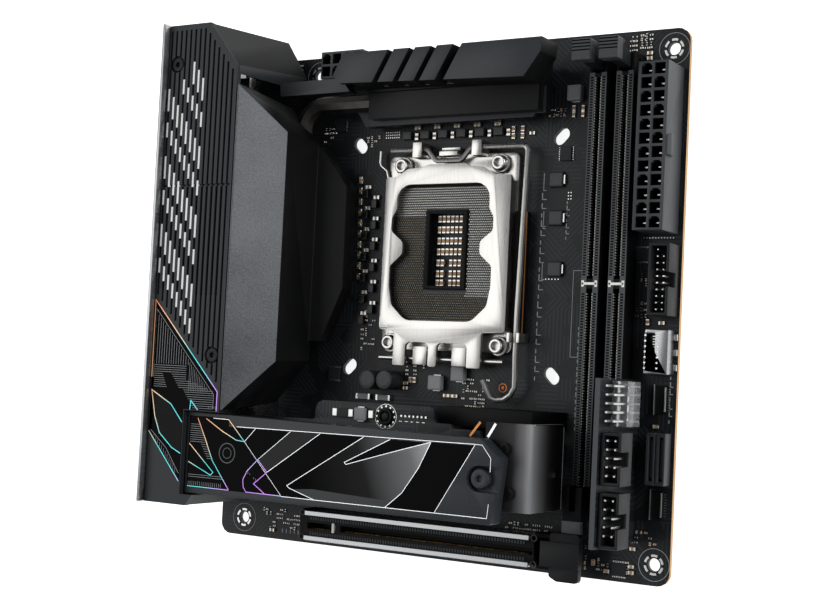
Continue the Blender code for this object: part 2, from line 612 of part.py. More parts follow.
def make_card_latch():
    """The winged paddle that frees the card when it is pressed down."""
    x, y, z = PADDLE_PIVOT_X, CARD_SLOT_Y, PADDLE_PIVOT_Z
    turn = [math.radians(a) for a in range(180, 361, 30)]
    outline = [(x + 1.6 * math.cos(a), z + 1.6 * math.sin(a)) for a in turn]
    outline += [(x + 1.6, 8.9), (x + 12.3, 8.9), (x + 12.3, 12.0), (x - 0.6, 12.0), (x - 1.6, 10.0)]
    latch = prism("pcie_latch", outline, (y - 3.8, y + 3.8), GREY_PLASTIC, axis="Y")
    wings = rounded([(x + 2.4, y - 6.8, 1), (x + 5.0, SOUTH_EDGE, 1), (x + 12.2, SOUTH_EDGE, 1),
                     (x + 12.2, y + 6.6, 1), (x + 2.4, y + 6.6, 1)], 2)
    join(latch, prism("wings", wings, (9.2, 11.6)))
    join(latch, cylinder("paddle_pin", (x, y, z), 0.8, CARD_SLOT_WIDTH - 1.2, "Y", None, 12))
    return set_pivot(latch, (x, y, z))


# Power and front connectors

def cell_block(name, x, y, width, length, height, columns, rows, cell, material):
    """A power connector: a block with rows of square cells open at the top."""
    block = box(name, (x - width / 2, x + width / 2), (y - length / 2, y + length / 2), (GAP, height),
                material)
    pitch = 4.2
    spans = []
    for i in range(columns):
        for j in range(rows):
            cx = x + (i - (columns - 1) / 2) * pitch
            cy = y + (j - (rows - 1) / 2) * pitch
            spans.append(((cx - cell / 2, cx + cell / 2), (cy - cell / 2, cy + cell / 2),
                          (4.0, height + 2)))
    return cut(block, boxes(name + "_cells", spans))


def make_power_connectors():
    atx = cell_block("atx_power_connector", ATX_X, ATX_Y, ATX_WIDTH, ATX_LENGTH, ATX_HEIGHT, 2, 12, 3.4,
                     BLACK_PLASTIC)
    edge = ATX_X + ATX_WIDTH / 2
    ramp = [(edge - 0.5, 8.5), (edge, 8.5), (edge + 1.4, 11.0), (edge + 1.4, ATX_HEIGHT - 0.6),
            (edge - 0.5, ATX_HEIGHT - 0.6)]
    join(atx, prism("locking_ramp", ramp, (ATX_Y - 3.2, ATX_Y + 3.2), None, axis="Y"))
    cell_block("cpu_power_connector", EPS_X, EPS_Y, EPS_WIDTH, EPS_LENGTH, ATX_HEIGHT, 4, 2, 3.4,
               BLACK_PLASTIC)


def make_front_headers():
    x = (USB3_X - USB3_WIDTH / 2, USB3_X + USB3_WIDTH / 2)
    y = (USB3_Y - USB3_LENGTH / 2, USB3_Y + USB3_LENGTH / 2)
    usb = box("usb3_header", x, y, (GAP, USB3_HEIGHT), BLACK_PLASTIC)
    cut(usb, box("usb3_well", (x[0] + 0.9, x[1] - 0.9), (y[0] + 0.9, y[1] - 0.9), (1.6, USB3_HEIGHT + 1)))
    cut(usb, box("usb3_notch", (x[1] - 2, x[1] + 1), (USB3_Y - 2.2, USB3_Y + 2.2), (3.0, USB3_HEIGHT + 1)))
    x = (TYPE_C_X - TYPE_C_WIDTH / 2, TYPE_C_X + TYPE_C_WIDTH / 2)
    y = (TYPE_C_Y - TYPE_C_LENGTH / 2, TYPE_C_Y + TYPE_C_LENGTH / 2)
    port = box("usb_c_header", x, y, (GAP, TYPE_C_HEIGHT), STAINLESS)
    cut(port, box("type_c_slot", (TYPE_C_X - 3.2, TYPE_C_X - 0.4), (y[0] + 1.2, y[1] - 1.2),
                  (1.4, TYPE_C_HEIGHT + 1)))


def box_header(name, y, face):
    x = (face, face + 6.3)
    z = (RISER_TOP - 10.0, RISER_TOP - 1.5)
    header = box(name, x, y, z, GREY_PLASTIC)
    cut(header, box(name + "_well", (x[0] + 1.0, x[1] - 0.9), (y[0] + 1.0, y[1] - 1.0),
                    (z[0] + 1.5, z[1] + 1)))
    middle = (y[0] + y[1]) / 2
    return cut(header, box(name + "_notch", (x[1] - 2, x[1] + 1), (middle - 2.1, middle + 2.1),
                           (z[0] + 2.5, z[1] + 1)))


def make_header_card():
    card = (RISER_X - 0.8, RISER_X + 0.8)
    box("header_card", card, (RISER_Y0, RISER_Y1), (GAP, RISER_TOP), SOLDER_MASK)
    face = card[1] + GAP
    box("panel_header", (face, face + 5.0), (RISER_Y1 - 13.9, RISER_Y1 - 0.6),
        (RISER_TOP - 18.0, RISER_TOP - 8.0),
        CLEAR_PLASTIC)
    box_header("box_header_1", (RISER_Y1 - 30.9, RISER_Y1 - 15.5), face)
    box_header("box_header_2", (RISER_Y0 + 0.3, RISER_Y0 + 16.4), face)
    for number, (low, high) in enumerate(((78.0, 80.9), (81.2, 84.1)), 1):
        slot = box(f"sata_connector_{number}", (low, high), (-54.6, -39.0), (GAP, 5.4), BLACK_PLASTIC)
        cut(slot, box("sata_slot", (low + 0.9, high - 0.7), (-53.4, -40.2), (1.6, 7)))


# Heatsinks, covers and fan

def top_sink_outline():
    return [(-24.9, 79.3), (-28.6, 72.2), (-26.0, 69.4), (41.7, 67.4), (47.1, 74.8), (47.5, 79.3)]


def pipe_route():
    arc = [(-48.6 + 8.0 * math.cos(math.radians(a)), 58.0 + 8.0 * math.sin(math.radians(a)), 9.4)
           for a in range(90, 181, 15)]
    return [(34.0, 66.0, 9.4), (-30.0, 66.0, 9.4), *[(x + 6.0, y, z) for x, y, z in arc], (-50.6, 0.0, 9.4)]


def make_top_heatsink():
    sink = prism("top_heatsink", top_sink_outline(), (14.6, TOP_SINK_HEIGHT), ANODISED)
    body = box("sink_body", (-22.0, 41.0), (59.5, 76.4), (4.0, 15.2))
    strip = prism("sink_strip", [(-30.2, 63.7), (-26.3, 58.0), (36.7, 58.4), (40.7, 64.4), (38.0, 69.0),
                                 (-27.5, 69.0)],
                  (4.2, 8.0))
    cut(body, boxes("fin_gaps", [((-23, 42), (58.0, 68.2), (z, z + 1.9)) for z in (8.01, 10.9, 13.5)]))
    arm = prism("sink_arm", [(-51.5, 71.4), (-51.0, 66.8), (-23.0, 66.9), (-26.5, 71.6)], (19.4, 24.0))
    join(sink, body, strip, arm)
    for index in range(4):
        near, far = 8.0 - index * SINK_GROOVE_STEP, 17.4 - index * SINK_GROOVE_STEP
        width = 2.2 if index else 3.2
        groove = [(near, 64.0), (near + width, 64.0), (far + width, 81.0), (far, 81.0)]
        cut(sink, prism("sink_groove", groove, (18.5, TOP_SINK_HEIGHT + 1)))
    cut(sink, wire("top_pipe_bore", pipe_route(), 3.0 + GAP))
    box("top_thermal_pad", (-20.0, 36.0), (60.5, 75.0), (GAP, 3.7), PAD_GREY)
    wire("heat_pipe", pipe_route(), 3.0, COPPER_PIPE)
    return sink


def make_vrm_heatsink():
    """The block with the lit slope; the cover meets it along its ridge."""
    ridge, back = COVER_RIGHT + 0.9, COVER_RIGHT + GAP
    corners = [(back, 69.0, COVER_TOP), (ridge, 68.3, COVER_TOP), (ridge, -39.8, COVER_TOP),
               (back, -40.0, COVER_TOP),
               (VRM_EDGE - 1.0, 54.0, SLOPE_FOOT), (VRM_EDGE - 1.0, -22.9, SLOPE_FOOT),
               (VRM_EDGE, 53.0, 9.0), (VRM_EDGE, -22.0, 9.0), (back, 66.0, 9.0), (back, -37.0, 9.0)]
    sink = hull("vrm_heatsink", corners, ANODISED)
    base = [(back + 0.3, 51.6), (back + 0.3, -15.3), (-39.3, -15.3), (-31.3, 2.8), (-31.6, 37.7),
            (-42.7, 51.6)]
    join(sink, prism("vrm_base", base, (4.0, 10.0)))
    cut(sink, wire("vrm_pipe_bore", pipe_route(), 3.0 + GAP))
    pad = [(back + 1.5, 48.0), (back + 1.5, -12.0), (-41.5, -12.0), (-34.0, 4.5), (-34.0, 36.0),
           (-44.0, 48.0)]
    prism("vrm_thermal_pad", pad, (GAP, 3.7), PAD_GREY)
    return sink


def make_io_cover():
    """The rear cover: a shell that is open below and towards the shield."""
    left, right, top = COVER_LEFT, COVER_RIGHT, COVER_TOP
    lid = [(left, COVER_NORTH), (left, COVER_SOUTH), (-69.6, COVER_SOUTH), (-67.0, M2_SOUTH - 0.5),
           (M2_LEFT - 0.5, M2_SOUTH - 0.5), (M2_LEFT - 0.5, M2_NORTH + 0.5), (right, M2_NORTH + 0.5),
           (right, 74.9), (-69.8, COVER_NORTH)]
    cover = prism("io_cover", lid, (top - COVER_WALL, top), COVER_PAINT)
    end = hull("north_end", [(left, COVER_NORTH - 0.2, top - 1), (-69.8, COVER_NORTH - 0.2, top - 1),
                             (right + 0.1, 74.9, top - 1), (right + 0.1, 72.0, top - 1),
                             (left, 87.0, top - 1),
                             (left, COVER_NORTH - 0.2, 6), (-62.0, COVER_NORTH - 0.2, 6), (-53.4, 77.0, 6),
                             (-55.8, 72.6, 6), (-66.0, 86.6, 6), (left, 86.6, 6)])
    south = hull("south_end", [(left, COVER_SOUTH + 0.1, top - 1), (-69.7, COVER_SOUTH + 0.1, top - 1),
                               (-67.4, M2_SOUTH - 0.6, top - 1), (left, M2_SOUTH - 0.6, top - 1),
                               (left, COVER_SOUTH + 0.1, 2), (-69.7, COVER_SOUTH + 0.1, 2),
                               (-67.4, M2_SOUTH - 0.6, 2), (left, M2_SOUTH - 0.6, 2)])
    hollow = hull("cover_hollow", [(left + 2, 84.5, top - COVER_WALL), (-70.5, 84.5, top - COVER_WALL),
                                   (right - 1.4, 70.5, top - COVER_WALL),
                                   (left + 2, 60.0, top - COVER_WALL),
                                   (right - 1.4, 60.0, top - COVER_WALL), (left + 2, 84.5, 1),
                                   (-66.5, 84.5, 1),
                                   (-57.6, 70.5, 1), (left + 2, 60.0, 1), (-57.6, 60.0, 1)])
    join(cover, cut(end, hollow), south)
    slots = [((FAN_X + offset - 1.1, FAN_X + offset + 1.1), (FAN_Y - reach, FAN_Y + reach),
              (top - 4, top + 1))
             for offset, reach in ((-8.4, 7), (-4.2, 10), (0.0, 11), (4.2, 10), (8.4, 7))]
    cut(cover, boxes("fan_slots", slots))
    for number, (x, y) in enumerate(((-83.4, 76.7), (-61.8, -21.8)), 1):
        cut(cover, cylinder("screw_bore", (x, y, top), 1.9, 12, "Z", None, 16))
        cut(cover, cylinder("screw_seat", (x, y, top), 2.9, 2.2, "Z", None, 20))
        profile = [(0, top - 1.2), (0.9, top - 1.2), (0.9, top - 0.2), (2.3, top - 0.2), (2.5, top - 0.5),
                   (2.5, top - 0.8), (1.5, top - 1.1 + GAP), (1.5, top - 5.6), (0, top - 5.6)]
        turned(f"io_cover_screw_{number}", (x, y, 0), profile, STAINLESS, 16)
    return cover


def make_fan():
    x, y, half = FAN_X, FAN_Y, FAN_SIDE / 2
    top, low = COVER_TOP - COVER_WALL - GAP, COVER_TOP - COVER_WALL - 8.0
    frame = prism("vrm_fan_frame", rectangle((x - half, x + half), (y - half, y + half), 2.0), (low, top),
                  BLACK_PLASTIC, [circle(x, y, FAN_RADIUS + 0.9, 32)])
    for side in (0, 1):
        reach, thin = half - 0.6, 0.9
        span = (x - reach, x + reach), (y - thin, y + thin)
        if side:
            span = (x - thin, x + thin), (y - reach, y + reach)
        join(frame, box("fan_strut", *span, (low + 0.1 + side * 0.15, low + 1.1 + side * 0.1)))
    bearing = cylinder("fan_bearing", (x, y, low + 0.9), 3.6, 1.5, "Z", None, 20)
    join(frame, bearing)
    wheel = turned("vrm_fan_impeller", (x, y, 0), [(0, top - 0.4), (4.4, top - 0.4), (4.9, top - 0.9),
                                                   (4.9, low + 2.0),
                                                   (0, low + 2.0)], GREY_PLASTIC, 20)
    for blade in range(9):
        turn = 2 * math.pi * blade / 9
        vane = box("fan_vane", (4.2, FAN_RADIUS), (-0.35, 0.35), (low + 2.3, top - 0.7))
        vane.data.transform(Matrix.Rotation(turn, 4, "Z") @ Matrix.Translation((0, 0.0012, 0)))
        vane.location = Vector((x, y, 0)) * MM
        join(wheel, vane)
    return wheel


# M.2 stack and chipset

def make_m2_cover():
    low = M2_TOP - M2_THICKNESS
    outline = rounded([(M2_LEFT, M2_SOUTH, 0.6), (M2_RIGHT - 2.0, M2_SOUTH, 0.6), (M2_RIGHT, -48.3, 0.6),
                       (39.2, -42.9, 0.6), (M2_LEFT, M2_NORTH, 0.6)], 2)
    cover = prism("m2_cover", outline, (low, M2_TOP), ANODISED)
    x, y = M2_SCREW_X, M2_SCREW_Y
    recess = capsule(x + 6, y, 3.9, 12, 0.0)
    cut(cover, prism("screw_recess", recess, (M2_TOP - M2_SCREW_SINK, M2_TOP + 1)))
    cut(cover, cylinder("m2_screw_bore", (x, y, M2_TOP), 1.9, 20, "Z", None, 16))
    head = M2_TOP - M2_SCREW_SINK + GAP
    profile = [(0, head + 1.1), (1.0, head + 1.1), (1.0, head + 2.1), (2.8, head + 2.1), (3.1, head + 1.8),
               (3.1, head),
               (1.5, head), (1.5, low - 8.0), (0, low - 8.0)]
    turned("m2_cover_screw", (x, y, 0), profile, STAINLESS, 20)


def make_m2_stack():
    card_top, sheet = RISER_CARD_TOP, RISER_CARD_SHEET
    outline = rounded([(-58.0, -66.5, 1), (31.0, -66.5, 1), (31.0, -41.2, 1), (21.4, -41.2, 0.6),
                       (20.2, -39.8, 0.6),
                       (15.0, -39.8, 0.8), (14.2, -38.4, 0.8), (14.2, -34.8, 1.5), (-31.0, -34.8, 3),
                       (-31.0, -41.2, 1), (-58.0, -41.2, 1)], 2)
    x, y = STANDOFF_X, STANDOFF_Y
    prism("m2_riser_card", outline, (card_top - sheet, card_top), SOLDER_MASK, [circle(x, y, 1.6, 16)])
    low = card_top - sheet - GAP
    profile = [(0, card_top + 0.6), (1.3, card_top + 0.6), (1.3, low), (2.6, low), (2.6, GAP), (0, GAP)]
    turned("m2_standoff", (x, y, 0), profile, GOLD, 16)
    link = [(10.2, GAP), (49.4, GAP), (44.2, 14.6), (10.2, 14.6)]
    prism("m2_connector", link, (-40.6, -34.6), BLACK_PLASTIC, axis="Y")
    box("chipset", (-22.0, 6.0), (-65.0, -43.4), (GAP, 2.2), SILICON)
    sink = box("chipset_heatsink", (-24.0, 8.0), (-66.0, -42.4), (2.2 + GAP, 14.0), ANODISED)
    fins = [((-25, 9), (y, y + 2.2), (6.0, 15)) for y in (-63.4, -59.2, -55.0, -50.8, -46.6)]
    cut(sink, boxes("chipset_fin_gaps", fins))


def make_heat_plate():
    """The bent plate at the end of the M.2 stack, with its two pressed-in posts."""
    top, sheet = HEAT_PLATE_TOP, HEAT_PLATE_SHEET
    profile = rounded([(37.0, top - sheet, 0), (51.4, top - sheet, 0.6), (51.4, 9.0, 0), (52.6, 9.0, 0),
                       (52.6, top, 1.6),
                       (37.0, top, 0)], 4)
    plate = prism("m2_heat_plate", profile, (-64.2, -38.0), DARK_CHROME, axis="Y")
    cut(plate, cylinder("cover_screw_pass", (M2_SCREW_X, M2_SCREW_Y, top), 2.4, 8, "Z", None, 16))
    for x, y in ((45.6, -46.2), (46.4, -60.6)):
        join(plate, cylinder("plate_post", (x, y, (top - sheet / 2 + GAP) / 2), 2.6, top - sheet / 2 - GAP,
                             "Z", None, 8))
    return plate


# Rear connectors

PORTS = {
    "hdmi_port": dict(y=(63.0, 78.4), z=(GAP, 7.6), depth=12.0, wells=[((63.7, 77.7), (1.6, 6.2))]),
    "usb_a_stack_1": dict(y=(44.0, 58.6), z=(GAP, 16.0), depth=17.5,
                          wells=[((44.9, 57.7), (1.7, 7.0)), ((44.9, 57.7), (9.2, 14.5))]),
    "usb_a_stack_2": dict(y=(25.0, 39.6), z=(GAP, 16.0), depth=17.5,
                          wells=[((25.9, 38.7), (1.7, 7.0)), ((25.9, 38.7), (9.2, 14.5))]),
    "lan_usb_stack": dict(y=(4.0, 20.6), z=(GAP, 26.4), depth=20.0,
                          wells=[((5.7, 18.9), (1.7, 7.0)), ((6.2, 18.4), (12.0, 21.6))]),
    "usb_c_stack": dict(y=(-9.6, 0.8), z=(GAP, 16.0), depth=11.0,
                        wells=[((-8.9, 0.1), (2.6, 5.8)), ((-8.9, 0.1), (10.0, 13.2))]),
}


def make_ports():
    holes = []
    for name, port in PORTS.items():
        shell = box(name, (PORT_FRONT, PORT_FRONT + port["depth"]), port["y"], port["z"], STAINLESS)
        wells = [((PORT_FRONT - 1, PORT_FRONT + port["depth"] - 1.6), y, z) for y, z in port["wells"]]
        cut(shell, boxes(name + "_wells", wells))
        holes.append((port["y"], port["z"]))
    span = (PORT_FRONT, PORT_FRONT + AUDIO_DEPTH), (-68.1, -47.7), (GAP, AUDIO_HEIGHT)
    block = box("audio_jack_block", *span, BLACK_PLASTIC)
    for y in (-64.5, -57.9, -51.3):
        cut(block, cylinder("audio_bore", (PORT_FRONT, y, 6.6), AUDIO_BORE, 24, "X", None, 16))
    holes.append(span[1:])
    box("wireless_module", (MODULE_LEFT, MODULE_LEFT + MODULE_DEPTH), (-46.0, -25.0), (GAP, 12.4),
        STAINLESS)
    for number, y in enumerate(JACK_Y, 1):
        middle = (JACK_FRONT + JACK_BACK) / 2
        cylinder(f"antenna_jack_{number}", (middle, y, JACK_Z), JACK_RADIUS, JACK_BACK - JACK_FRONT, "X",
                 GOLD, 20)
    return holes


def make_rear_buttons():
    back = COVER_LEFT + HOUSING_DEPTH
    housing = box("button_housing", (COVER_LEFT, back), (-22.4, -13.0), (GAP, HOUSING_HEIGHT),
                  BLACK_PLASTIC)
    for name, z in (("flash_button", FLASH_Z), ("clear_button", CLEAR_Z)):
        cut(housing, cylinder(name + "_bore", (COVER_LEFT + 0.2, BUTTON_Y, z), BUTTON_BORE, 14.0, "X", None,
                              20))
        plunger = cylinder(name, (BUTTON_X, BUTTON_Y, z), BUTTON_RADIUS, BUTTON_LENGTH, "X", GREY_PLASTIC,
                           20)
        set_pivot(plunger, (BUTTON_X, BUTTON_Y, z))


def make_shield(holes):
    x = (SHIELD_OUT, SHIELD_OUT + SHIELD_SHEET)
    shield = box("io_shield", x, (COVER_SOUTH, COVER_NORTH + GAP), (-UNDER, SHIELD_TOP), STAINLESS)
    spans = [((x[0] - 1, x[1] + 1), (y[0] - GAP, y[1] + GAP), (z[0] - GAP, z[1] + GAP)) for y, z in holes]
    cut(shield, boxes("port_windows", spans))
    for y in JACK_Y:
        cut(shield, cylinder("jack_window", (x[0], y, JACK_Z), JACK_RADIUS + GAP, 6, "X", None, 20))
    for z in (FLASH_Z, CLEAR_Z):
        cut(shield, cylinder("button_window", (x[0], BUTTON_Y, z), BUTTON_BORE + 0.2, 6, "X", None, 20))
    return shield


def make_small_parts():
    cylinder("coin_cell", (-64.6, 55.0, 10.0 + GAP), 10.0, 3.2, "X", STAINLESS, 32)


make_board()
make_socket()
make_frame()
make_load_plate()
make_load_lever()
make_socket_hardware()
for slot_number in (1, 2):
    make_memory_slot(slot_number)
    make_memory_latch(slot_number)
make_card_slot()
make_card_latch()
make_power_connectors()
make_front_headers()
make_header_card()
make_top_heatsink()
make_vrm_heatsink()
make_io_cover()
make_fan()
make_m2_cover()
make_m2_stack()
make_heat_plate()
make_shield(make_ports())
make_rear_buttons()
make_small_parts()
bpy.context.view_layer.update()
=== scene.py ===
# %% [markdown]
# # A small gaming motherboard
# A mini-ITX board is a square of black glass fibre, 170 mm on a side, with an open processor socket, two
# memory slots, one card slot, painted heatsinks and a ribbed cover over the rear ports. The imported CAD
# bodies fix every size and every moving part. Here each of them gets its real surface, and the parts that
# are too small for CAD, such as pins, chips and printed marks, are modelled around them.

# %% Load the frame
import json
import math
import random

import bmesh
import bpy
from mathutils import Matrix, Vector

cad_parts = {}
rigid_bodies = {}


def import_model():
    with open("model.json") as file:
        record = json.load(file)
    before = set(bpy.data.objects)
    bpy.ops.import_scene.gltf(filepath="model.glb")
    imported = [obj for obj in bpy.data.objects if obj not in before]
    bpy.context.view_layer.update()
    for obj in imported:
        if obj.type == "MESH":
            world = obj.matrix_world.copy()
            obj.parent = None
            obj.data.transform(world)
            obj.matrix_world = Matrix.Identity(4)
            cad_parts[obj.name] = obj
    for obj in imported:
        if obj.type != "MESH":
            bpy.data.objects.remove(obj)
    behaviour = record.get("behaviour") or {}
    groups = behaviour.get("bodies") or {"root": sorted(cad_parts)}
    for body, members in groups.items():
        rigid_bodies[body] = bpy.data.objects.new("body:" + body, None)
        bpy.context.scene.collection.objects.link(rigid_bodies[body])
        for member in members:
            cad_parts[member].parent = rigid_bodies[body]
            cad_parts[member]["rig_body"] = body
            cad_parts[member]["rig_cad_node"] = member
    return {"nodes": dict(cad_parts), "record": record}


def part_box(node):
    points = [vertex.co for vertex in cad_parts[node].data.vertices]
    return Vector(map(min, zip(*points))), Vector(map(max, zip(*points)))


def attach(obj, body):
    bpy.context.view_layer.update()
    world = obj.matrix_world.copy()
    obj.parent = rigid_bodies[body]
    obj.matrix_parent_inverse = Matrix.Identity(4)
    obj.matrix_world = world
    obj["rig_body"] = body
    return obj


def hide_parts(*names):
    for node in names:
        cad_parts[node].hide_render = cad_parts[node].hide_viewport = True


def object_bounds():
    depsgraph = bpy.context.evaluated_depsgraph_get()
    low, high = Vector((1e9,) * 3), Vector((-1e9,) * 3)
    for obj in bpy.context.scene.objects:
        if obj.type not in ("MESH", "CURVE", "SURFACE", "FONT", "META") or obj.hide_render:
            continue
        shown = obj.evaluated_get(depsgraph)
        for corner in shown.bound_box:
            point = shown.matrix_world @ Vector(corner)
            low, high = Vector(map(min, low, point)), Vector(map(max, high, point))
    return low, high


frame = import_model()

cad_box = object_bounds()
NODES = frame["nodes"]
MM = 0.001

# %% [markdown]
# Everything below is placed in board millimetres: x and y from the middle of the circuit board, z from
# its component side. One function turns such a place into the frame's metres.

# %% Board millimetres
board_low, board_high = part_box("circuit_board")
HOME = Vector(((board_low.x + board_high.x) / 2, (board_low.y + board_high.y) / 2, board_high.z))


def at(x, y, z=0.0):
    return HOME + Vector((x, y, z)) * MM


def span(node):
    """A CAD node's lowest and highest corner in board millimetres."""
    low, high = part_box(node)
    return (low - HOME) / MM, (high - HOME) / MM


# %% [markdown]
# The camera looks down on the board from its front right corner, over two board widths away, so the
# perspective is weak. The light is a plain studio's: a big soft light behind and above that the flat
# nickel and the tops of the heatsinks mirror, a second one low on the right for the slopes, and a white
# floor that throws light back from below.

# %% Camera
camera_data = bpy.data.cameras.new("camera")
camera = bpy.data.objects.new("camera", camera_data)
bpy.context.scene.collection.objects.link(camera)
camera_data.sensor_width = 36.0
camera_data.lens = 62.224
look = Vector((-0.51395, 0.04757, -0.85650)).normalized()
up = Vector((-0.01720, 0.99769, 0.06573)).normalized()
right = look.cross(up).normalized()
up = right.cross(look)
camera.matrix_world = Matrix.Translation(at(238.468, -24.245, 411.930)) @ Matrix(
    (right, up, -look)).transposed().to_4x4()
bpy.context.scene.camera = camera


# %% Light
def softbox(name, direction, distance, size, watts):
    lamp = bpy.data.lights.new(name, "AREA")
    lamp.shape = "RECTANGLE"
    lamp.size = lamp.size_y = size
    lamp.energy = watts
    holder = bpy.data.objects.new(name, lamp)
    bpy.context.scene.collection.objects.link(holder)
    holder.location = HOME + Vector(direction).normalized() * distance
    holder.rotation_mode = "QUATERNION"
    holder.rotation_quaternion = Vector(direction).normalized().to_track_quat("Z", "Y")


softbox("sky_light", (-0.62, 0.10, 0.78), 0.9, 0.75, 3.6)
softbox("slope_light", (0.84, 0.26, 0.42), 0.95, 0.5, 4.2)
softbox("front_light", (0.1, -0.9, 0.5), 1.2, 0.5, 0.6)
world = bpy.data.worlds.new("studio")
bpy.context.scene.world = world
world.use_nodes = True
sky = world.node_tree.nodes["Background"].inputs
sky["Color"].default_value = (0.95, 0.97, 1.0, 1.0)
sky["Strength"].default_value = 0.3
bpy.context.scene.view_settings.view_transform = "Standard"


# %% [markdown]
# ## Tools
# A few small tools keep the modelling steps short. `only` empties the selection first, because an
# operator works on all that is selected. `block` and `plate` start a piece from a cube or from a flat
# outline. `dress` takes a CAD node's own shape, joins up its loose triangles and rounds its edges, since
# real edges are never sharp and a rounded edge is what catches the light.

# %% Selecting and settling
SHARP = math.radians(35)  # an edge that turns by more than this gets rounded


def only(*pieces):
    for other in list(bpy.context.selected_objects):
        other.select_set(False)
    for piece in pieces:
        piece.select_set(True)
    if pieces:
        bpy.context.view_layer.objects.active = pieces[0]


def settle(piece, name):
    """Puts a piece's place and turn into its mesh."""
    only(piece)
    bpy.ops.object.transform_apply(location=True, rotation=True, scale=True)
    piece.name = name
    return piece


def editing(piece, *steps):
    """Runs mesh operators in edit mode, with every element selected at the start."""
    only(piece)
    bpy.ops.object.mode_set(mode="EDIT")
    bpy.ops.mesh.select_all(action="SELECT")
    for step in steps:
        step()
    bpy.ops.object.mode_set(mode="OBJECT")
    return piece


def applied(piece, kind, **settings):
    only(piece)
    modifier = piece.modifiers.new(kind.lower(), kind)
    for key, value in settings.items():
        setattr(modifier, key, value)
    bpy.ops.object.modifier_apply(modifier=modifier.name)
    return piece


def soften(piece, edge=0.0):
    """Rounds the sharp edges and shades the rest smoothly."""
    if edge:
        editing(piece, lambda: bpy.ops.mesh.select_all(action="DESELECT"),
                lambda: bpy.ops.mesh.edges_select_sharp(sharpness=SHARP),
                lambda: bpy.ops.mesh.bevel(offset=edge * MM, segments=2, clamp_overlap=True))
    only(piece)
    bpy.ops.object.shade_smooth_by_angle(angle=SHARP)
    return piece


# %% Starting shapes
def around(middle, half):
    return middle - half, middle + half


def block(name, x, y, z, edge=0.0, segments=2):
    """A box between two limits along each axis."""
    only()
    middle = at((x[0] + x[1]) / 2, (y[0] + y[1]) / 2, (z[0] + z[1]) / 2)
    bpy.ops.mesh.primitive_cube_add(size=1, location=middle)
    piece = bpy.context.object
    piece.scale = Vector((x[1] - x[0], y[1] - y[0], z[1] - z[0])) * MM
    settle(piece, name)
    if edge:
        editing(piece, lambda: bpy.ops.mesh.bevel(offset=edge * MM, segments=segments, affect="EDGES"))
    return piece


def row(name, x, y, z, count, step, edge=0.0, segments=2):
    """Blocks in a row: the first one's limits, how many there are, and the step from one to the next."""
    return [block(name, *[(low + move * i, high + move * i) for (low, high), move in zip((x, y, z), step)],
                  edge, segments) for i in range(count)]


def disc(name, x, y, z, radius, sides=32, edge=0.0, top=None):
    """A round post, or a cone where `top` gives another radius."""
    only()
    bpy.ops.mesh.primitive_cone_add(vertices=sides, radius1=radius * MM, radius2=(top or radius) * MM,
                                    depth=(z[1] - z[0]) * MM, location=at(x, y, (z[0] + z[1]) / 2))
    piece = settle(bpy.context.object, name)
    return soften(piece, edge)


def as_mesh(name, curve):
    """Turns a curve into a mesh without doubled points."""
    piece = bpy.data.objects.new(name, curve)
    bpy.context.scene.collection.objects.link(piece)
    only(piece)
    bpy.ops.object.convert(target="MESH")
    return bpy.context.object


def cleaned(piece, *steps):
    return editing(piece, lambda: bpy.ops.mesh.remove_doubles(threshold=1e-7), *steps,
                   lambda: bpy.ops.mesh.normals_make_consistent(inside=False))


def torus(name, place, major, minor, minor_segments):
    """A ring round an axis along x."""
    only()
    bpy.ops.mesh.primitive_torus_add(major_radius=major * MM, minor_radius=minor * MM, major_segments=32,
                                     minor_segments=minor_segments, location=at(*place),
                                     rotation=(0.0, math.pi / 2, 0.0))
    return settle(bpy.context.object, name)


def plate(name, points, z, edge=0.0, holes=()):
    """A flat outline with a thickness, and holes through it."""
    curve = bpy.data.curves.new(name, "CURVE")
    curve.dimensions = "2D"
    curve.fill_mode = "BOTH"
    curve.extrude = (z[1] - z[0]) / 2 * MM
    for loop in (points, *holes):
        spline = curve.splines.new("POLY")
        spline.points.add(len(loop) - 1)
        for point, (x, y) in zip(spline.points, loop):
            point.co = (x * MM, y * MM, 0.0, 1.0)
        spline.use_cyclic_u = True
    piece = as_mesh(name, curve)
    piece.location = at(0, 0, (z[0] + z[1]) / 2)
    cleaned(settle(piece, name), lambda: bpy.ops.mesh.dissolve_limited(angle_limit=math.radians(0.5)))
    return soften(piece, edge)


def stroke(name, points, width, z, closed=False):
    """A band of even width along a line of points, as ink, a trim line or a groove's cutter."""
    ends = [Vector(p) for p in points]
    left, right_side = [], []
    count = len(ends)
    for index, point in enumerate(ends):
        before = ends[index - 1] if index or closed else None
        after = ends[(index + 1) % count] if index < count - 1 or closed else None
        into = (point - before).normalized() if before is not None else (after - point).normalized()
        out = (after - point).normalized() if after is not None else into
        normal = Vector((-(into + out).y, (into + out).x)).normalized()
        reach = width / 2 / max(0.35, normal.dot(Vector((-into.y, into.x))))
        left.append(tuple(point + normal * reach))
        right_side.append(tuple(point - normal * reach))
    if closed:
        return plate(name, left, z, holes=[right_side])
    return plate(name, left + right_side[::-1], z)


def ring(x, y, radius, count=32, turn=0.0):
    return [(x + radius * math.cos(turn + 2 * math.pi * i / count),
             y + radius * math.sin(turn + 2 * math.pi * i / count)) for i in range(count)]


def tube(name, points, radius, sides=3):
    """A round wire bent through points."""
    curve = bpy.data.curves.new(name, "CURVE")
    curve.dimensions = "3D"
    curve.bevel_depth = radius * MM
    curve.bevel_resolution = sides
    curve.use_fill_caps = True
    spline = curve.splines.new("POLY")
    spline.points.add(len(points) - 1)
    for point, place in zip(spline.points, points):
        point.co = (*at(*place), 1.0)
    return soften(cleaned(as_mesh(name, curve)))


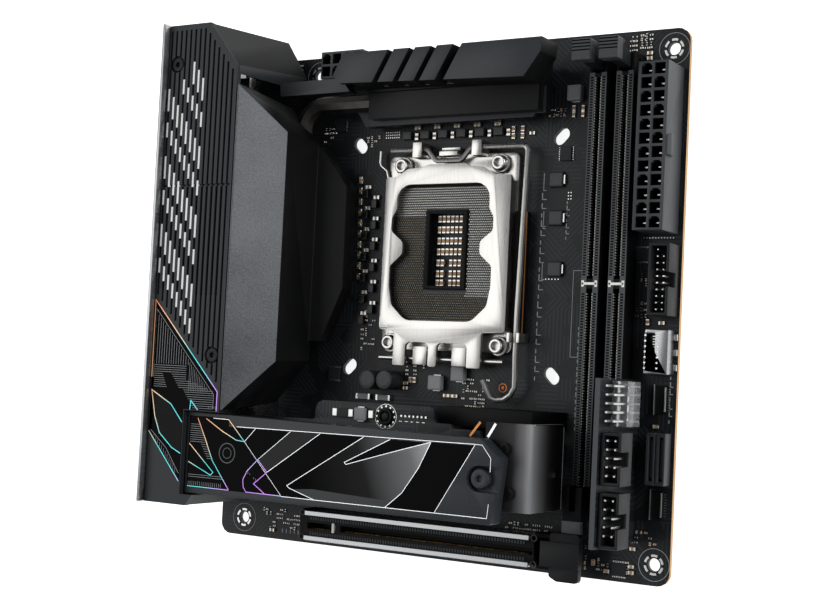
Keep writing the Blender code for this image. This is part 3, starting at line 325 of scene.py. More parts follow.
# %% Joining, cutting and copying
def joined(name, *pieces):
    only(*pieces)
    bpy.ops.object.join()
    piece = bpy.context.object
    piece.name = name
    return piece


def carved(piece, cutter, operation="DIFFERENCE"):
    applied(piece, "BOOLEAN", operation=operation, object=cutter, solver="EXACT")
    bpy.data.objects.remove(cutter)
    return piece


def repeated(name, pattern, places):
    """Copies of a pattern, modelled round the board's middle, at each (x, y) or (x, y, z, turn)."""
    mesh = bmesh.new()
    for x, y, *rest in places:
        z, turn = rest or (0.0, 0.0)
        start = len(mesh.verts)
        mesh.from_mesh(pattern.data)
        mesh.verts.ensure_lookup_table()
        move = (Matrix.Translation(at(x, y, z)) @ Matrix.Rotation(math.radians(turn), 4, "Z")
                @ Matrix.Translation(-HOME))
        bmesh.ops.transform(mesh, matrix=move, verts=mesh.verts[start:])
    copies = pattern.data.copy()
    mesh.to_mesh(copies)
    mesh.free()
    piece = bpy.data.objects.new(name, copies)
    bpy.context.scene.collection.objects.link(piece)
    bpy.data.objects.remove(pattern)
    return piece


# %% Dressing a CAD node
def dressed(node, edge):
    """A CAD node's shape with its triangles joined into faces and its edges rounded."""
    piece = NODES[node].copy()
    piece.data = NODES[node].data.copy()
    piece.parent = None
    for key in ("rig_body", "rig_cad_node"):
        del piece[key]
    bpy.context.scene.collection.objects.link(piece)
    piece.name = node + "_finished"
    only(piece)
    bpy.ops.mesh.customdata_custom_splitnormals_clear()
    editing(piece, lambda: bpy.ops.mesh.remove_doubles(threshold=2e-6),
            lambda: bpy.ops.mesh.dissolve_limited(angle_limit=math.radians(1.0)))
    return soften(piece, edge)


def body_of(node):
    groups = frame["record"]["behaviour"]["bodies"]
    return next(body for body, nodes in groups.items() if node in nodes)


def slot_of(node):
    return next(part["material_slot"] for part in frame["record"]["subparts"] if part["node"] == node)


def finished(piece, body, slot, *finishes):
    """The last step for a new piece: its finish and the body that it rides on. The slot argument is not used.
    """
    if finishes:
        piece.data.materials.clear()
        for finish in finishes:
            piece.data.materials.append(finish)
    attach(piece, body)
    return piece


def stands_for(piece, node, *finishes):
    finished(piece, body_of(node), slot_of(node), *finishes)
    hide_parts(node)
    return piece


def dress(node, edge, *finishes):
    return stands_for(dressed(node, edge), node, *finishes)


def group(name, pieces, slot, *finishes, body="board"):
    """Many small pieces, joined into one and finished."""
    return finished(joined(name, *pieces), body, slot, *finishes)


def scattered(name, pattern, places, slot="stainless_steel", *finishes):
    """Copies of one pattern on the board, finished."""
    return finished(repeated(name, pattern, places), "board", slot, *finishes)


def assembled(name, *layers):
    """Joins pieces of several finishes: each layer is a finish and then its pieces."""
    for finish, *pieces in layers:
        for piece in pieces:
            piece.data.materials.clear()
            piece.data.materials.append(finish)
    return joined(name, *[piece for layer in layers for piece in layer[1:]])


def paint_faces(piece, index, wanted):
    """Gives the faces that `wanted` picks, by their middle in board millimetres and normal, a finish."""
    for face in piece.data.polygons:
        if wanted((face.center - HOME) / MM, face.normal):
            face.material_index = index


# %% [markdown]
# ## Finishes
# Each finish is named for the real material and how its surface was made, and a finish that also carries
# painted light or shade says so in its name. Colours are sRGB hex values, turned to linear light by one
# function. Grain sizes are in millimetres of the real thing, drawn a little coarser where they would be lost at
# this distance.

# %% Colours and nodes
def colour(code):
    channels = [int(code[i:i + 2], 16) / 255 for i in (1, 3, 5)]
    return (*[c / 12.92 if c <= 0.04045 else ((c + 0.055) / 1.055) ** 2.4 for c in channels], 1.0)


def add(tree, kind, sockets=None, **settings):
    """Adds a node: settings are its own, sockets are values or other nodes' outputs."""
    node = tree.nodes.new(kind)
    for key, value in settings.items():
        setattr(node, key, value)
    for key, value in (sockets or {}).items():
        if isinstance(value, bpy.types.NodeSocket):
            tree.links.new(value, node.inputs[key])
        else:
            node.inputs[key].default_value = value
    return node


def new_finish(name):
    material = bpy.data.materials.new(name)
    material.use_nodes = True
    tree = material.node_tree
    shader = tree.nodes["Principled BSDF"]
    place = tree.nodes.new("ShaderNodeTexCoord").outputs["Object"]
    return material, tree, shader, place


def shader_inputs(material):
    return material.node_tree.nodes["Principled BSDF"].inputs


def grained(name, dark, light, metallic, roughness, grain, relief=0.0, stretch=(1, 1, 1), spread=0.06,
            **sockets):
    """A finish whose grain is that many millimetres across and varies colour, gloss and relief."""
    material, tree, shader, place = new_finish(name)
    stretched = add(tree, "ShaderNodeMapping", {"Vector": place, "Scale": stretch})
    noise = add(tree, "ShaderNodeTexNoise", {"Vector": stretched.outputs[0], "Scale": 1 / (grain * MM),
                                             "Detail": 3.0, "Roughness": 0.6})
    cloud = add(tree, "ShaderNodeTexNoise", {"Vector": place, "Scale": 1 / (22 * MM), "Detail": 2.0})
    blend = add(tree, "ShaderNodeMix", {"Factor": 0.35, "A": noise.outputs["Fac"], "B": cloud.outputs["Fac"]},
                data_type="FLOAT")
    ramp = add(tree, "ShaderNodeValToRGB", {"Fac": blend.outputs["Result"]})
    for stop, position, code in zip(ramp.color_ramp.elements, (0.36, 0.64), (dark, light)):
        stop.position, stop.color = position, colour(code)
    tree.links.new(ramp.outputs["Color"], shader.inputs["Base Color"])
    gloss = add(tree, "ShaderNodeMapRange", {"Value": blend.outputs["Result"], "From Min": 0.3, "From Max": 0.7,
                                             "To Min": roughness - spread, "To Max": roughness + spread})
    tree.links.new(gloss.outputs["Result"], shader.inputs["Roughness"])
    if relief:
        bump = add(tree, "ShaderNodeBump", {"Height": noise.outputs["Fac"], "Distance": relief * MM,
                                            "Strength": 1.0})
        tree.links.new(bump.outputs["Normal"], shader.inputs["Normal"])
    shader.inputs["Metallic"].default_value = metallic
    for key, value in sockets.items():
        shader.inputs[key.replace("_", " ").title().replace("Ior", "IOR")].default_value = value
    return material


def matt(name, dark, light, roughness, specular, grain=0.3, relief=0.012, **more):
    """A plastic, a lacquer or an anodised skin, which shines only as much as `specular` says."""
    return grained(name, dark, light, 0.0, roughness, grain, relief, specular_ior_level=specular, **more)


# %% Metals
# Nickel plating is a bright, slightly warm mirror; rolling leaves it faint lines along the sheet.
NICKEL = grained("nickel_plated_spring_steel", "#b3b1ad", "#c4c2be", 1.0, 0.3, 0.5, 0.004, (1, 0.08, 1))
# Tumbled steel of the screws and the rear shells: greyer and a little rougher.
STEEL = grained("tumbled_stainless_steel", "#a5a6a6", "#c0c0bf", 1.0, 0.28, 0.6, 0.006)
SHIELD = grained("brushed_stainless_sheet", "#8f9092", "#a8a9aa", 1.0, 0.32, 0.4, 0.008, (1, 1, 0.05))
# Bead-blasted, black anodised aluminium scatters light in a fine sparkle.
ANODISED = matt("bead_blasted_black_anodised_aluminium", "#24272a", "#303437", 0.46, 0.3, 0.45, 0.02)
# Painted shade: the rear cover's end faces, turned away from the lamps, are painted near-black.
COVER_END_SHADE = matt("painted_shade_on_cover_end", "#0b0c0d", "#141617", 0.55, 0.15)
# Deep black anodising of the screws, standoff, chipset heatsink and drive cover band; on the two big heatsinks
# it is also painted shade on the faces turned from the light.
DEEP_BLACK_ANODISED_AND_SHADE = matt("deep_black_anodised_aluminium_and_painted_shade", "#060607", "#0d0e0f", 0.5, 0.22, 0.45, 0.02)
# Painted light: heatsink faces turned to the lamp on the right are painted this lighter grey.
SLOPE_PAINTED_LIGHT = grained("silk_grey_painted_light_on_slope", "#46484a", "#6b6e70", 0.5, 0.5, 0.5, 0.02)
HEAT_PIPE = grained("tarnished_nickel_pipe", "#4a4744", "#5b5855", 1.0, 0.4, 2.4)
# Lit and shaded copies of one gilt finish: painted light and painted shade on the springs.
GILT_SPRING_SHADED = grained("gilt_spring_in_shadow", "#5c584e", "#a39a86", 1.0, 0.42, 0.6)
GILT_SPRING_LIT = grained("gilt_spring_in_light", "#d8d5cd", "#fbf8f0", 1.0, 0.42, 0.6)
GOLD = grained("gold_plated_contact", "#c99a4a", "#e6c27c", 1.0, 0.26, 0.3)
TIN = grained("tinned_copper_pad", "#b0b0ad", "#cfceca", 1.0, 0.34, 0.5, 0.01)
# Bright cut trim edges; the same finish also draws the painted highlight along the bent plate's fold.
TRIM_AND_HIGHLIGHT = grained("diamond_cut_aluminium_edge_and_painted_highlight", "#b4b7ba", "#d8dadc", 1.0, 0.22, 0.8)

# %% Plastics, lacquers and ceramics
# Glass-filled nylon comes out of the mould with a fine matt skin.
NYLON = matt("moulded_black_nylon", "#101113", "#181a1c", 0.5, 0.25)
# Jet black nylon of the slots and sockets; inside the power connectors it is also painted shade.
JET_BLACK_NYLON_AND_SHADE = matt("moulded_jet_black_nylon_and_painted_shade", "#040405", "#08080a", 0.55, 0.15)
NYLON_GREY = matt("moulded_dark_grey_nylon", "#2c2f31", "#3b3e40", 0.45, 0.3)
RAIL = matt("moulded_slate_nylon", "#3d4042", "#4c4f52", 0.5, 0.3)
COVER = matt("satin_slate_lacquer", "#1f2224", "#2b2e30", 0.5, 0.25)
# Painted shade: near-black for groove floors, the memory rails' windows and the strips across the latch caps.
SHADE_IN_GROOVES = matt("painted_shade_in_grooves", "#010101", "#030303", 0.6, 0.05, 0.4, 0.0)
GLOSS = matt("piano_black_lacquer", "#000000", "#010101", 0.2, 0.025, 9.0, 0.0, spread=0.03)
WHITE_INK = grained("white_printed_lacquer", "#dcdcda", "#f4f4f2", 0.0, 0.4, 0.5)
INK = grained("grey_silkscreen_ink", "#85888a", "#a9abac", 0.0, 0.6, 0.3)
DIM_INK = grained("faint_silkscreen_ink", "#4c4f51", "#5f6264", 0.0, 0.6, 0.3)
BLACK_INK = matt("black_printed_marks", "#020203", "#050506", 0.5, 0.1, 0.4, 0.0)
EPOXY = matt("moulded_epoxy_chip_body", "#16181a", "#212426", 0.55, 0.25, 0.25, 0.01)
FERRITE = grained("pressed_iron_powder", "#6a6c6e", "#8c8e90", 0.1, 0.6, 0.35, 0.02)
CERAMIC = grained("fired_tan_ceramic", "#8a6a48", "#b39069", 0.0, 0.5, 0.3)
RESISTOR = matt("glazed_resistor_body", "#08090a", "#121315", 0.3, 0.3, 0.4, 0.0)
CAN_TOP = grained("stamped_capacitor_can", "#232629", "#34373a", 0.4, 0.45, 0.5, 0.01)
KEY_WHITE = grained("white_moulded_key", "#e8e7e2", "#f7f6f2", 0.0, 0.45, 0.4)
FIBRE = grained("cut_glass_fibre_edge", "#a87f4e", "#d2a873", 0.0, 0.7, 0.25, 0.02)
PAD_GREY = grained("soft_silicone_pad", "#7c8084", "#989ca0", 0.0, 0.85, 0.5, 0.02)
COPPER = grained("bare_copper_pad", "#8a5030", "#b06a42", 1.0, 0.35, 0.5)
ORANGE = grained("copper_kapton_tape", "#b06c30", "#d2904e", 0.6, 0.4, 0.4)
CLEAR = grained("clear_polycarbonate", "#b6babc", "#d0d4d5", 0.0, 0.12, 3.0, 0.0, spread=0.04,
                transmission_weight=0.85, ior=1.45)


# %% [markdown]
# The board itself is black solder mask over etched copper. The copper shows through the mask as fine
# raised lines, in bundles that run straight or at 45 degrees. The pattern picks one of four directions in
# each cell of a square mosaic and draws parallel lines there, 1.35 mm apart.

# %% Solder mask over traces
def solder_mask(name, ground, trace, pitch):
    material, tree, shader, place = new_finish(name)
    flat = add(tree, "ShaderNodeMapping", {"Vector": place, "Scale": (1, 1, 0)})
    cells = add(tree, "ShaderNodeTexVoronoi", {"Vector": flat.outputs[0], "Scale": 1 / (17 * MM),
                                               "Randomness": 0.8}, distance="CHEBYCHEV")
    pick = add(tree, "ShaderNodeSeparateColor", {"Color": cells.outputs["Color"]})
    quarter = add(tree, "ShaderNodeMath", {0: pick.outputs[0], 1: 0.25}, operation="SNAP")
    angle = add(tree, "ShaderNodeMath", {0: quarter.outputs[0], 1: math.pi}, operation="MULTIPLY")
    turned = add(tree, "ShaderNodeVectorRotate", {"Vector": flat.outputs[0], "Angle": angle.outputs[0]},
                 rotation_type="Z_AXIS")
    lines = add(tree, "ShaderNodeTexWave", {"Vector": turned.outputs[0], "Scale": 0.314 / (pitch * MM)},
                wave_type="BANDS", bands_direction="X", wave_profile="SIN")
    wide = add(tree, "ShaderNodeTexNoise", {"Vector": flat.outputs[0], "Scale": 1 / (9 * MM), "Detail": 1.0})
    there = add(tree, "ShaderNodeMath", {0: wide.outputs["Fac"], 1: 0.46}, operation="GREATER_THAN")
    drawn = add(tree, "ShaderNodeMath", {0: lines.outputs["Fac"], 1: there.outputs[0]}, operation="MULTIPLY")
    grain = add(tree, "ShaderNodeTexNoise", {"Vector": place, "Scale": 1 / (0.4 * MM), "Detail": 2.0})
    height = add(tree, "ShaderNodeMath", {0: grain.outputs["Fac"], 1: 0.25, 2: drawn.outputs[0]},
                 operation="MULTIPLY_ADD")
    tint = add(tree, "ShaderNodeMix", {"Factor": drawn.outputs[0], "A": colour(ground), "B": colour(trace)},
               data_type="RGBA")
    tree.links.new(tint.outputs["Result"], shader.inputs["Base Color"])
    bump = add(tree, "ShaderNodeBump", {"Height": height.outputs[0], "Distance": 0.05 * MM, "Strength": 0.5})
    tree.links.new(bump.outputs["Normal"], shader.inputs["Normal"])
    shader.inputs["Roughness"].default_value = 0.45
    shader.inputs["Specular IOR Level"].default_value = 0.25
    return material


MASK = solder_mask("matt_black_solder_mask", "#121416", "#22262a", 1.35)


# %% [markdown]
# Two surfaces are dark mirrors with a painted reflection that runs evenly from black to grey: the smoked
# window of the drive cover and the black chrome plate beside it. The thin trim lines at the tail of the covers
# are vapour coated, and their colour runs from orange through turquoise to violet; they also glow a little, as
# painted light. Both follow a direction across the board.

# %% Mirrors and vapour-coated trim
def along(tree, place, direction, start, length):
    """How far a point lies along a direction, from 0 at `start` to 1 after `length`, in millimetres."""
    local = add(tree, "ShaderNodeVectorMath", {0: place, 1: HOME}, operation="SUBTRACT")
    reach = add(tree, "ShaderNodeVectorMath", {0: local.outputs[0], 1: direction}, operation="DOT_PRODUCT")
    return add(tree, "ShaderNodeMath", {0: reach.outputs["Value"], 1: 1 / (length * MM), 2: -start / length},
               operation="MULTIPLY_ADD")


def stops_of(tree, value, stops):
    ramp = add(tree, "ShaderNodeValToRGB", {"Fac": value})
    for position, code in stops[1:-1]:
        ramp.color_ramp.elements.new(position).color = colour(code)
    ramp.color_ramp.elements[0].color = colour(stops[0][1])
    ramp.color_ramp.elements[-1].color = colour(stops[-1][1])
    return ramp


def graded(name, direction, start, length, stops, metallic, roughness):
    material, tree, shader, place = new_finish(name)
    shade = stops_of(tree, along(tree, place, direction, start, length).outputs[0], stops)
    grain = add(tree, "ShaderNodeTexNoise", {"Vector": place, "Scale": 1 / (3 * MM), "Detail": 2.0})
    gloss = add(tree, "ShaderNodeMapRange", {"Value": grain.outputs["Fac"], "To Min": roughness - 0.04,
                                             "To Max": roughness + 0.04})
    tree.links.new(gloss.outputs["Result"], shader.inputs["Roughness"])
    tree.links.new(shade.outputs["Color"], shader.inputs["Base Color"])
    shader.inputs["Metallic"].default_value = metallic
    return material


def rainbow(name, direction, start, length):
    material, tree, shader, place = new_finish(name)
    reach = along(tree, place, direction, start, length)
    loop = add(tree, "ShaderNodeMath", {0: reach.outputs[0], 1: 1.0}, operation="PINGPONG")
    tint = stops_of(tree, loop.outputs[0], ((0.0, "#d98a62"), (0.3, "#e3c09a"), (0.5, "#3fc4c4"),
                                            (0.7, "#58c8cf"), (0.84, "#bf86dc"), (1.0, "#b072d8")))
    tree.links.new(tint.outputs["Color"], shader.inputs["Base Color"])
    # The coating's colour bands are its own; the emission makes the trim glow a little, as painted light.
    tree.links.new(tint.outputs["Color"], shader.inputs["Emission Color"])
    shader.inputs["Emission Strength"].default_value = 0.35
    shader.inputs["Metallic"].default_value = 0.3
    shader.inputs["Roughness"].default_value = 0.35
    return material


# Painted reflection: the window runs from black to grey across the board.
SMOKED_PANEL_REFLECTION = graded("smoked_panel_painted_reflection", (1.0, 0.35, 0.0), -44.0, 52.0,
                ((0.0, "#050505"), (0.45, "#161616"), (0.8, "#4a4b4c"), (1.0, "#7a7b7c")), 1.0, 0.3)
# Painted reflection: the plate's top runs from black to light grey towards its fold.
BLACK_CHROME_REFLECTION = graded("black_chrome_painted_reflection", (1.0, 0.0, 0.0), 40.5, 12.0,
                      ((0.0, "#0c0c0c"), (0.5, "#2f2f30"), (0.8, "#6a6a6b"), (1.0, "#9c9c9d")), 0.15, 0.45)
# Painted light: the bent face is grey at its top and black at its foot.
CHROME_FACE_LIGHT = graded("black_chrome_bend_painted_light", (0.0, 0.0, -1.0), -30.9, 20.0,
                     ((0.0, "#8c8d8e"), (0.25, "#616162"), (0.6, "#2a2a2a"), (1.0, "#0e0e0e")), 0.15, 0.45)
for finish in (BLACK_CHROME_REFLECTION, CHROME_FACE_LIGHT):
    shader_inputs(finish)["Specular IOR Level"].default_value = 0.15
REAR_TRIM = rainbow("vapour_coated_rear_trim_painted_glow", (0.85, -0.3, 0.0), -72.7, 38.0)
DRIVE_TRIM = rainbow("vapour_coated_drive_trim_painted_glow", (0.5, -0.87, 0.0), 3.7, 30.0)
# %% [markdown]
# ## The board
# The bare board is cut from a big sheet, so its rim shows the tan glass fibre between the black faces. The
# CAD body keeps its shape here: only its rim gets a second finish. Round each mounting hole lie six curved
# solder pads inside a printed circle, which shows how much room the screw's head needs.

# %% Board with its cut rim
EDGE = (board_high.x - board_low.x) / MM / 2
CORNER = 4.2
board = dress("circuit_board", 0.0, MASK, FIBRE, TIN)
paint_faces(board, 1, lambda p, n: abs(n.z) < 0.5 and -1.7 < p.z and max(abs(p.x), abs(p.y)) > EDGE - CORNER)
paint_faces(board, 2, lambda p, n: p.z < -1.65 and n.z < -0.5)

HOLES = ((EDGE - 5.08, EDGE - 6.35), (EDGE - 5.08, 6.35 - EDGE), (10.16 - EDGE, 6.35 - EDGE),
         (33.02 - EDGE, EDGE - 6.35))
INK_Z = (0.02, 0.07)
PAD_RADIUS, CIRCLE_RADIUS = 2.8, 4.9
pads, marks = [], []
for x, y in HOLES:
    for part in range(6):
        start = math.radians(60 * part + 8)
        turns = [start + math.radians(t) for t in range(0, 41, 4)]
        arc = [(x + PAD_RADIUS * math.cos(turn), y + PAD_RADIUS * math.sin(turn)) for turn in turns]
        pads.append(stroke("pad", arc, 0.7, (0.03, 0.22)))
    marks.append(stroke("circle", ring(x, y, CIRCLE_RADIUS, 40), 0.16, INK_Z, closed=True))
group("mounting_hole_pads", pads, "stainless_steel", TIN)

# %% [markdown]
# Silkscreen is a layer of grey ink: circles at the holes, a corner mark beside each chip, a blank label
# box, and rows of small ticks where a maker would print its own words. No lettering is drawn.

# %% Silkscreen
for x, y in ((41.8, 39.5), (42.2, 27.2), (42.5, 10.9)):
    marks.append(stroke("corner", [(x - 4.1, y + 2.0), (x - 4.1, y - 3.6), (x - 3.2, y - 3.6)], 0.22, INK_Z))
marks.append(stroke("label_box", [(49.4, 10.2), (54.4, 10.2), (54.4, -17.1), (49.4, -17.1)], 0.2, INK_Z, True))
# Each column of ticks: its x, its lowest y, its length, its step and how far its side strokes reach.
for x, y, length, step, size in ((37.4, -25.0, 62.0, 2.9, 1.5), (52.0, -40.0, 34.0, 2.1, 0.9),
                                 (83.0, -36.0, 26.0, 2.2, 0.9), (46.2, 20.0, 14.0, 1.9, 1.0)):
    for number in range(int(length / step)):
        low = y + number * step
        tall = step * (0.45 + 0.25 * ((number * 7) % 3) / 2)
        marks.append(stroke("tick", [(x, low), (x, low + tall)], 0.32, INK_Z))
        if number % 3:
            marks.append(stroke("tick", [(x, low), (x + size, low)], 0.28, INK_Z))
for x in [-58.0 + number * 1.7 for number in range(9)]:
    marks.append(stroke("tick", [(x, -82.6), (x, -81.2)], 0.3, INK_Z))
group("silkscreen", marks, "solder_mask", INK)


# %% [markdown]
# Small parts stand on the board in their hundreds, and all are made the same way: a body with a metal cap
# at each end. One of each kind is modelled and then copied to every place where it stands. Tan ones are
# ceramic capacitors, black ones resistors, and grey ones coils.

# %% One chip with two end caps
def two_ended(name, length, width, height, cap, body_finish, cap_finish=TIN):
    half = length / 2
    middle = block(name, (-half + cap * 0.8, half - cap * 0.8), (-width / 2 * 0.96, width / 2 * 0.96),
                   (0.05, height * 0.95), 0.05, 1)
    caps = [block("cap", sorted((side * half, side * (half - cap))), (-width / 2, width / 2), (0.02, height),
                  0.06, 1) for side in (-1, 1)]
    return assembled(name, (body_finish, middle), (cap_finish, *caps))


def cluster(x, y, columns, rows, pitch_x, pitch_y, turn, skip):
    """A block of small parts on a grid, some places left empty and each part a little off its line."""
    places = []
    for i in range(columns):
        for j in range(rows):
            if rng.random() > skip:
                places.append((x + i * pitch_x + rng.uniform(-0.08, 0.08),
                               y + j * pitch_y + rng.uniform(-0.08, 0.08), 0.0,
                               turn if rng.random() > 0.2 else turn + 90))
    return places


def grid(x, y, columns, rows, pitch_x, pitch_y):
    return [(x + i * pitch_x, y + j * pitch_y) for i in range(columns) for j in range(rows)]


# %% Capacitors and resistors on the board
rng = random.Random(7)
tan_places = [(26.2, 56.2, 0, 90), (29.5, 56.2, 0, 90), (26.2, 53.9, 0, 90), (29.5, 53.9, 0, 90), (33.0, 54.6),
              (-8.4, -26.8, 0, 90), (-6.8, -26.8, 0, 90), (47.4, 61.9, 0, 90), (50.6, 61.8, 0, 90),
              (47.4, 59.9, 0, 90), (50.6, 59.9, 0, 90), (72.3, 77.8), (72.2, 76.2),
              (75.1, -5.5, 0, 90), (79.6, -5.7), (79.0, -37.2), (73.2, -74.6), (73.0, -80.0),
              (73.0, -81.8), (65.0, -82.2), (60.4, -80.0, 0, 90), (-62.0, -82.0)]
tan_places += grid(5.6, -31.4, 3, 1, 1.7, 1) + grid(-10.2, -29.6, 1, 2, 1, 1.6)
scattered("tan_capacitors", two_ended("tan", 1.9, 1.1, 0.9, 0.5, CERAMIC), tan_places)
CLUSTERS = (
    (12.0, -34.5, 7, 8, 1.5, 1.25, 0, 0.35), (-66.2, -81.5, 3, 6, 1.5, 1.3, 90, 0.4),
    (-61.5, -80.6, 8, 5, 1.5, 1.45, 0, 0.45), (66.0, 79.0, 3, 3, 1.4, 1.5, 0, 0.3),
    (69.4, 79.6, 3, 4, 1.5, 1.3, 90, 0.2), (72.5, 6.0, 3, 4, 1.5, 1.5, 90, 0.3),
    (71.4, -3.6, 3, 3, 1.4, 1.9, 90, 0.2), (30.0, -72.2, 12, 2, 1.4, 1.5, 0, 0.35),
    (72.6, -72.6, 6, 3, 1.5, 1.6, 0, 0.4), (62.0, -82.0, 8, 3, 1.6, 1.5, 90, 0.4),
    (-48.0, 55.0, 4, 4, 1.4, 1.5, 0, 0.3), (-61.6, 75.0, 2, 6, 1.7, 1.6, 0, 0.3),
    (37.5, 60.0, 6, 2, 1.3, 1.7, 90, 0.1), (-28.6, -18.5, 4, 10, 1.5, 1.6, 0, 0.45),
    (-30.0, 53.0, 4, 3, 1.5, 1.4, 90, 0.4), (-10.0, -25.0, 5, 3, 1.6, 1.4, 0, 0.4),
    (54.6, -82.0, 3, 5, 1.5, 1.6, 90, 0.4))
small_places = sorted(place for numbers in CLUSTERS for place in cluster(*numbers))
rng.shuffle(small_places)
scattered("small_resistors", two_ended("resistor", 1.05, 0.55, 0.4, 0.28, RESISTOR), small_places[::2])
scattered("small_capacitors", two_ended("small_tan", 1.05, 0.6, 0.55, 0.3, CERAMIC), small_places[1::2])

# %% [markdown]
# Beside the socket the power chips keep company with two staggered columns of coated inductors and silver
# capacitor ends, and a row of six grey coils stands above it.

# %% Parts of the power stage
stagger = [(-29.3 + (3.6 if i % 2 else 0.0) + 0.05 * i, 36.2 - 3.62 * i, 0, 90) for i in range(13)]
scattered("power_inductors", two_ended("inductor", 2.7, 2.0, 1.9, 0.35, RESISTOR, CAN_TOP), stagger)
silver_places = [(x + 0.5, y + 2.3) for x, y, _, _ in stagger]
silver_places += [(-31.9 + 0.1 * i, 41.0 - 3.7 * i, 0, 90) for i in range(10)]
silver_places += [(-10.3 + 6.95 * i, 55.2, 0, 90) for i in range(6)] + grid(-10.0, 58.2, 5, 1, 7.6, 1)
scattered("silver_capacitors", two_ended("silver", 2.3, 1.25, 1.1, 0.8, CERAMIC), silver_places)
coils = grid(-13.8, 55.6, 6, 1, 6.96, 1)
scattered("top_coils", two_ended("coil", 3.2, 2.6, 1.8, 0.5, RESISTOR, CAN_TOP), coils)


# %% [markdown]
# The larger inductors are pressed from iron powder, so they are plain grey blocks with their corners cut
# off, sitting on two bent tabs.

# %% Pressed inductors
def pressed_inductor(name, side, height):
    half = side / 2
    flat = (0.7 - half, half - 0.7)
    body = block(name, (-half, half), (-half, half), (0.35, height), 0.45)
    top = block("top", flat, flat, (height - 0.2, height + 0.06), 0.05, 1)
    tabs = [block("tab", (-side * 0.28, side * 0.28), (s * half - 0.3, s * half + 0.35), (0.03, 0.9), 0.1, 1)
            for s in (-1, 1)]
    return assembled(name, (FERRITE, body, top), (TIN, *tabs))


places = [(2.1, -27.4), (10.6, -24.1), (48.1, 66.5)]
scattered("pressed_inductors", pressed_inductor("pressed", 4.9, 3.0), places)
scattered("large_inductor", pressed_inductor("large", 6.4, 3.0), [(53.4, -68.8)])

# %% [markdown]
# Polymer capacitors are drawn aluminium cans with a scored lid, on a square plastic foot.

# %% Polymer capacitors
def crossed(piece, x, y, z, length, width):
    """Cuts two crossing slots into a piece's top."""
    carved(piece, block("slot", around(x, length), around(y, width), z))
    carved(piece, block("slot", around(x, width), around(y, length), z))


def polymer_can(name, radius, height):
    can = disc(name, 0, 0, (0.9, height), radius, 40, 0.35)
    waist = disc("waist", 0, 0, (0.6, 1.6), radius - 0.3, 40)
    foot = block("foot", (-radius, radius), (-radius, radius), (0.03, 0.7), 0.25)
    crossed(can, 0.0, 0.0, (height - 0.05, height + 0.5), radius * 0.55, 0.16)
    return assembled(name, (CAN_TOP, can, waist), (NYLON, foot))


scattered("polymer_capacitors", polymer_can("can", 3.15, 8.0), [(-21.1, -27.5), (-14.3, -27.3)])
scattered("tantalum_bars", two_ended("bar", 5.6, 1.9, 1.6, 0.7, FERRITE), [(-26.4, -33.2), (-18.4, -33.3)])


# %% [markdown]
# A chip is a moulded epoxy slab with a round pin-one dimple and thin tinned legs along two sides.

# %% Chips with legs
def chip(name, x, y, legs):
    top = 0.95
    body = block(name, (-x / 2, x / 2), (-y / 2, y / 2), (0.12, top), 0.08, 1)
    carved(body, disc("dimple", -x / 2 + 0.7, -y / 2 + 0.7, (top - 0.06, top + 0.3), 0.28, 12))
    feet = []
    for side in (-1, 1):
        for i in range(legs):
            where = (i - (legs - 1) / 2) * (x * 0.86 / (legs - 1))
            edge = sorted((side * (y / 2 - 0.1), side * (y / 2 + 0.55)))
            feet.append(block("leg", around(where, 0.12), edge, (0.03, 0.3)))
    return assembled(name, (EPOXY, body), (TIN, *feet))


def power_chip():
    """A leadless chip with a metal lid, and a wide tinned tab along one side."""
    body = block("body", (-2.7, 2.3), (-2.4, 2.4), (0.05, 1.3), 0.12, 1)
    lid = block("lid", (-2.3, 1.9), (-2.0, 2.0), (1.2, 1.36), 0.05, 1)
    tab = block("tab", (2.35, 2.95), (-1.5, 1.5), (0.03, 1.0), 0.1, 1)
    return assembled("power_chip", (EPOXY, body), (CAN_TOP, lid), (TIN, tab))


scattered("power_chips", power_chip(), [(42.6, 39.2), (42.9, 26.9), (43.2, 10.6)], "chip_package")
places = [(72.6, 15.2), (-41.6, 60.6, 0, 90), (69.0, -81.3), (45.2, 47.5, 0, 90), (-39.0, -26.0)]
scattered("logic_chips", chip("logic_chip", 4.6, 4.0, 8), places, "chip_package")
vias = grid(-22.9, 55.4, 7, 3, 0.85, 0.9) + grid(39.8, 7.4, 5, 1, 1.1, 1) + grid(46.5, 33.0, 2, 3, 0.9, 1.0)
vias += grid(72.6, 20.4, 11, 1, 0.95, 1) + grid(-13.6, -21.8, 5, 3, 0.8, 0.8) + grid(66.2, 82.2, 4, 2, 1.4, 1.2)
scattered("solder_points", disc("via", 0, 0, (0.02, 0.12), 0.22, 8), vias, "stainless_steel", TIN)
star = [stroke("ring", ring(26.2, -27.9, 1.35, 24), 0.3, (0.02, 0.08), closed=True),
        disc("dot", 26.2, -27.9, (0.02, 0.09), 0.55, 12)]
group("copper_star", star, "stainless_steel", COPPER)

# %% [markdown]
# Two shallow metal-edged link connectors take the ribbon cables of the drive and front panel cards.

# %% Link connectors at the front edge
LINK_PLACES = [(79.9, -28.9), (79.9, -60.6)]
body = block("link", (-2.4, 2.6), (-4.2, 4.2), (0.05, 1.3), 0.15)
metal = [block("bar", (-1.4, -1.1), (-4.6, 4.6), (0.1, 2.0), 0.05),
         block("bar", (1.9, 2.4), (-3.7, 3.7), (0.1, 1.7), 0.08)]
metal += row("pin", (2.6, 3.3), (-3.35, -3.05), (0.05, 0.3), 9, (0, 0.8, 0))
scattered("link_connectors", assembled("link", (JET_BLACK_NYLON_AND_SHADE, body), (TIN, *metal)), LINK_PLACES, "black_nylon")


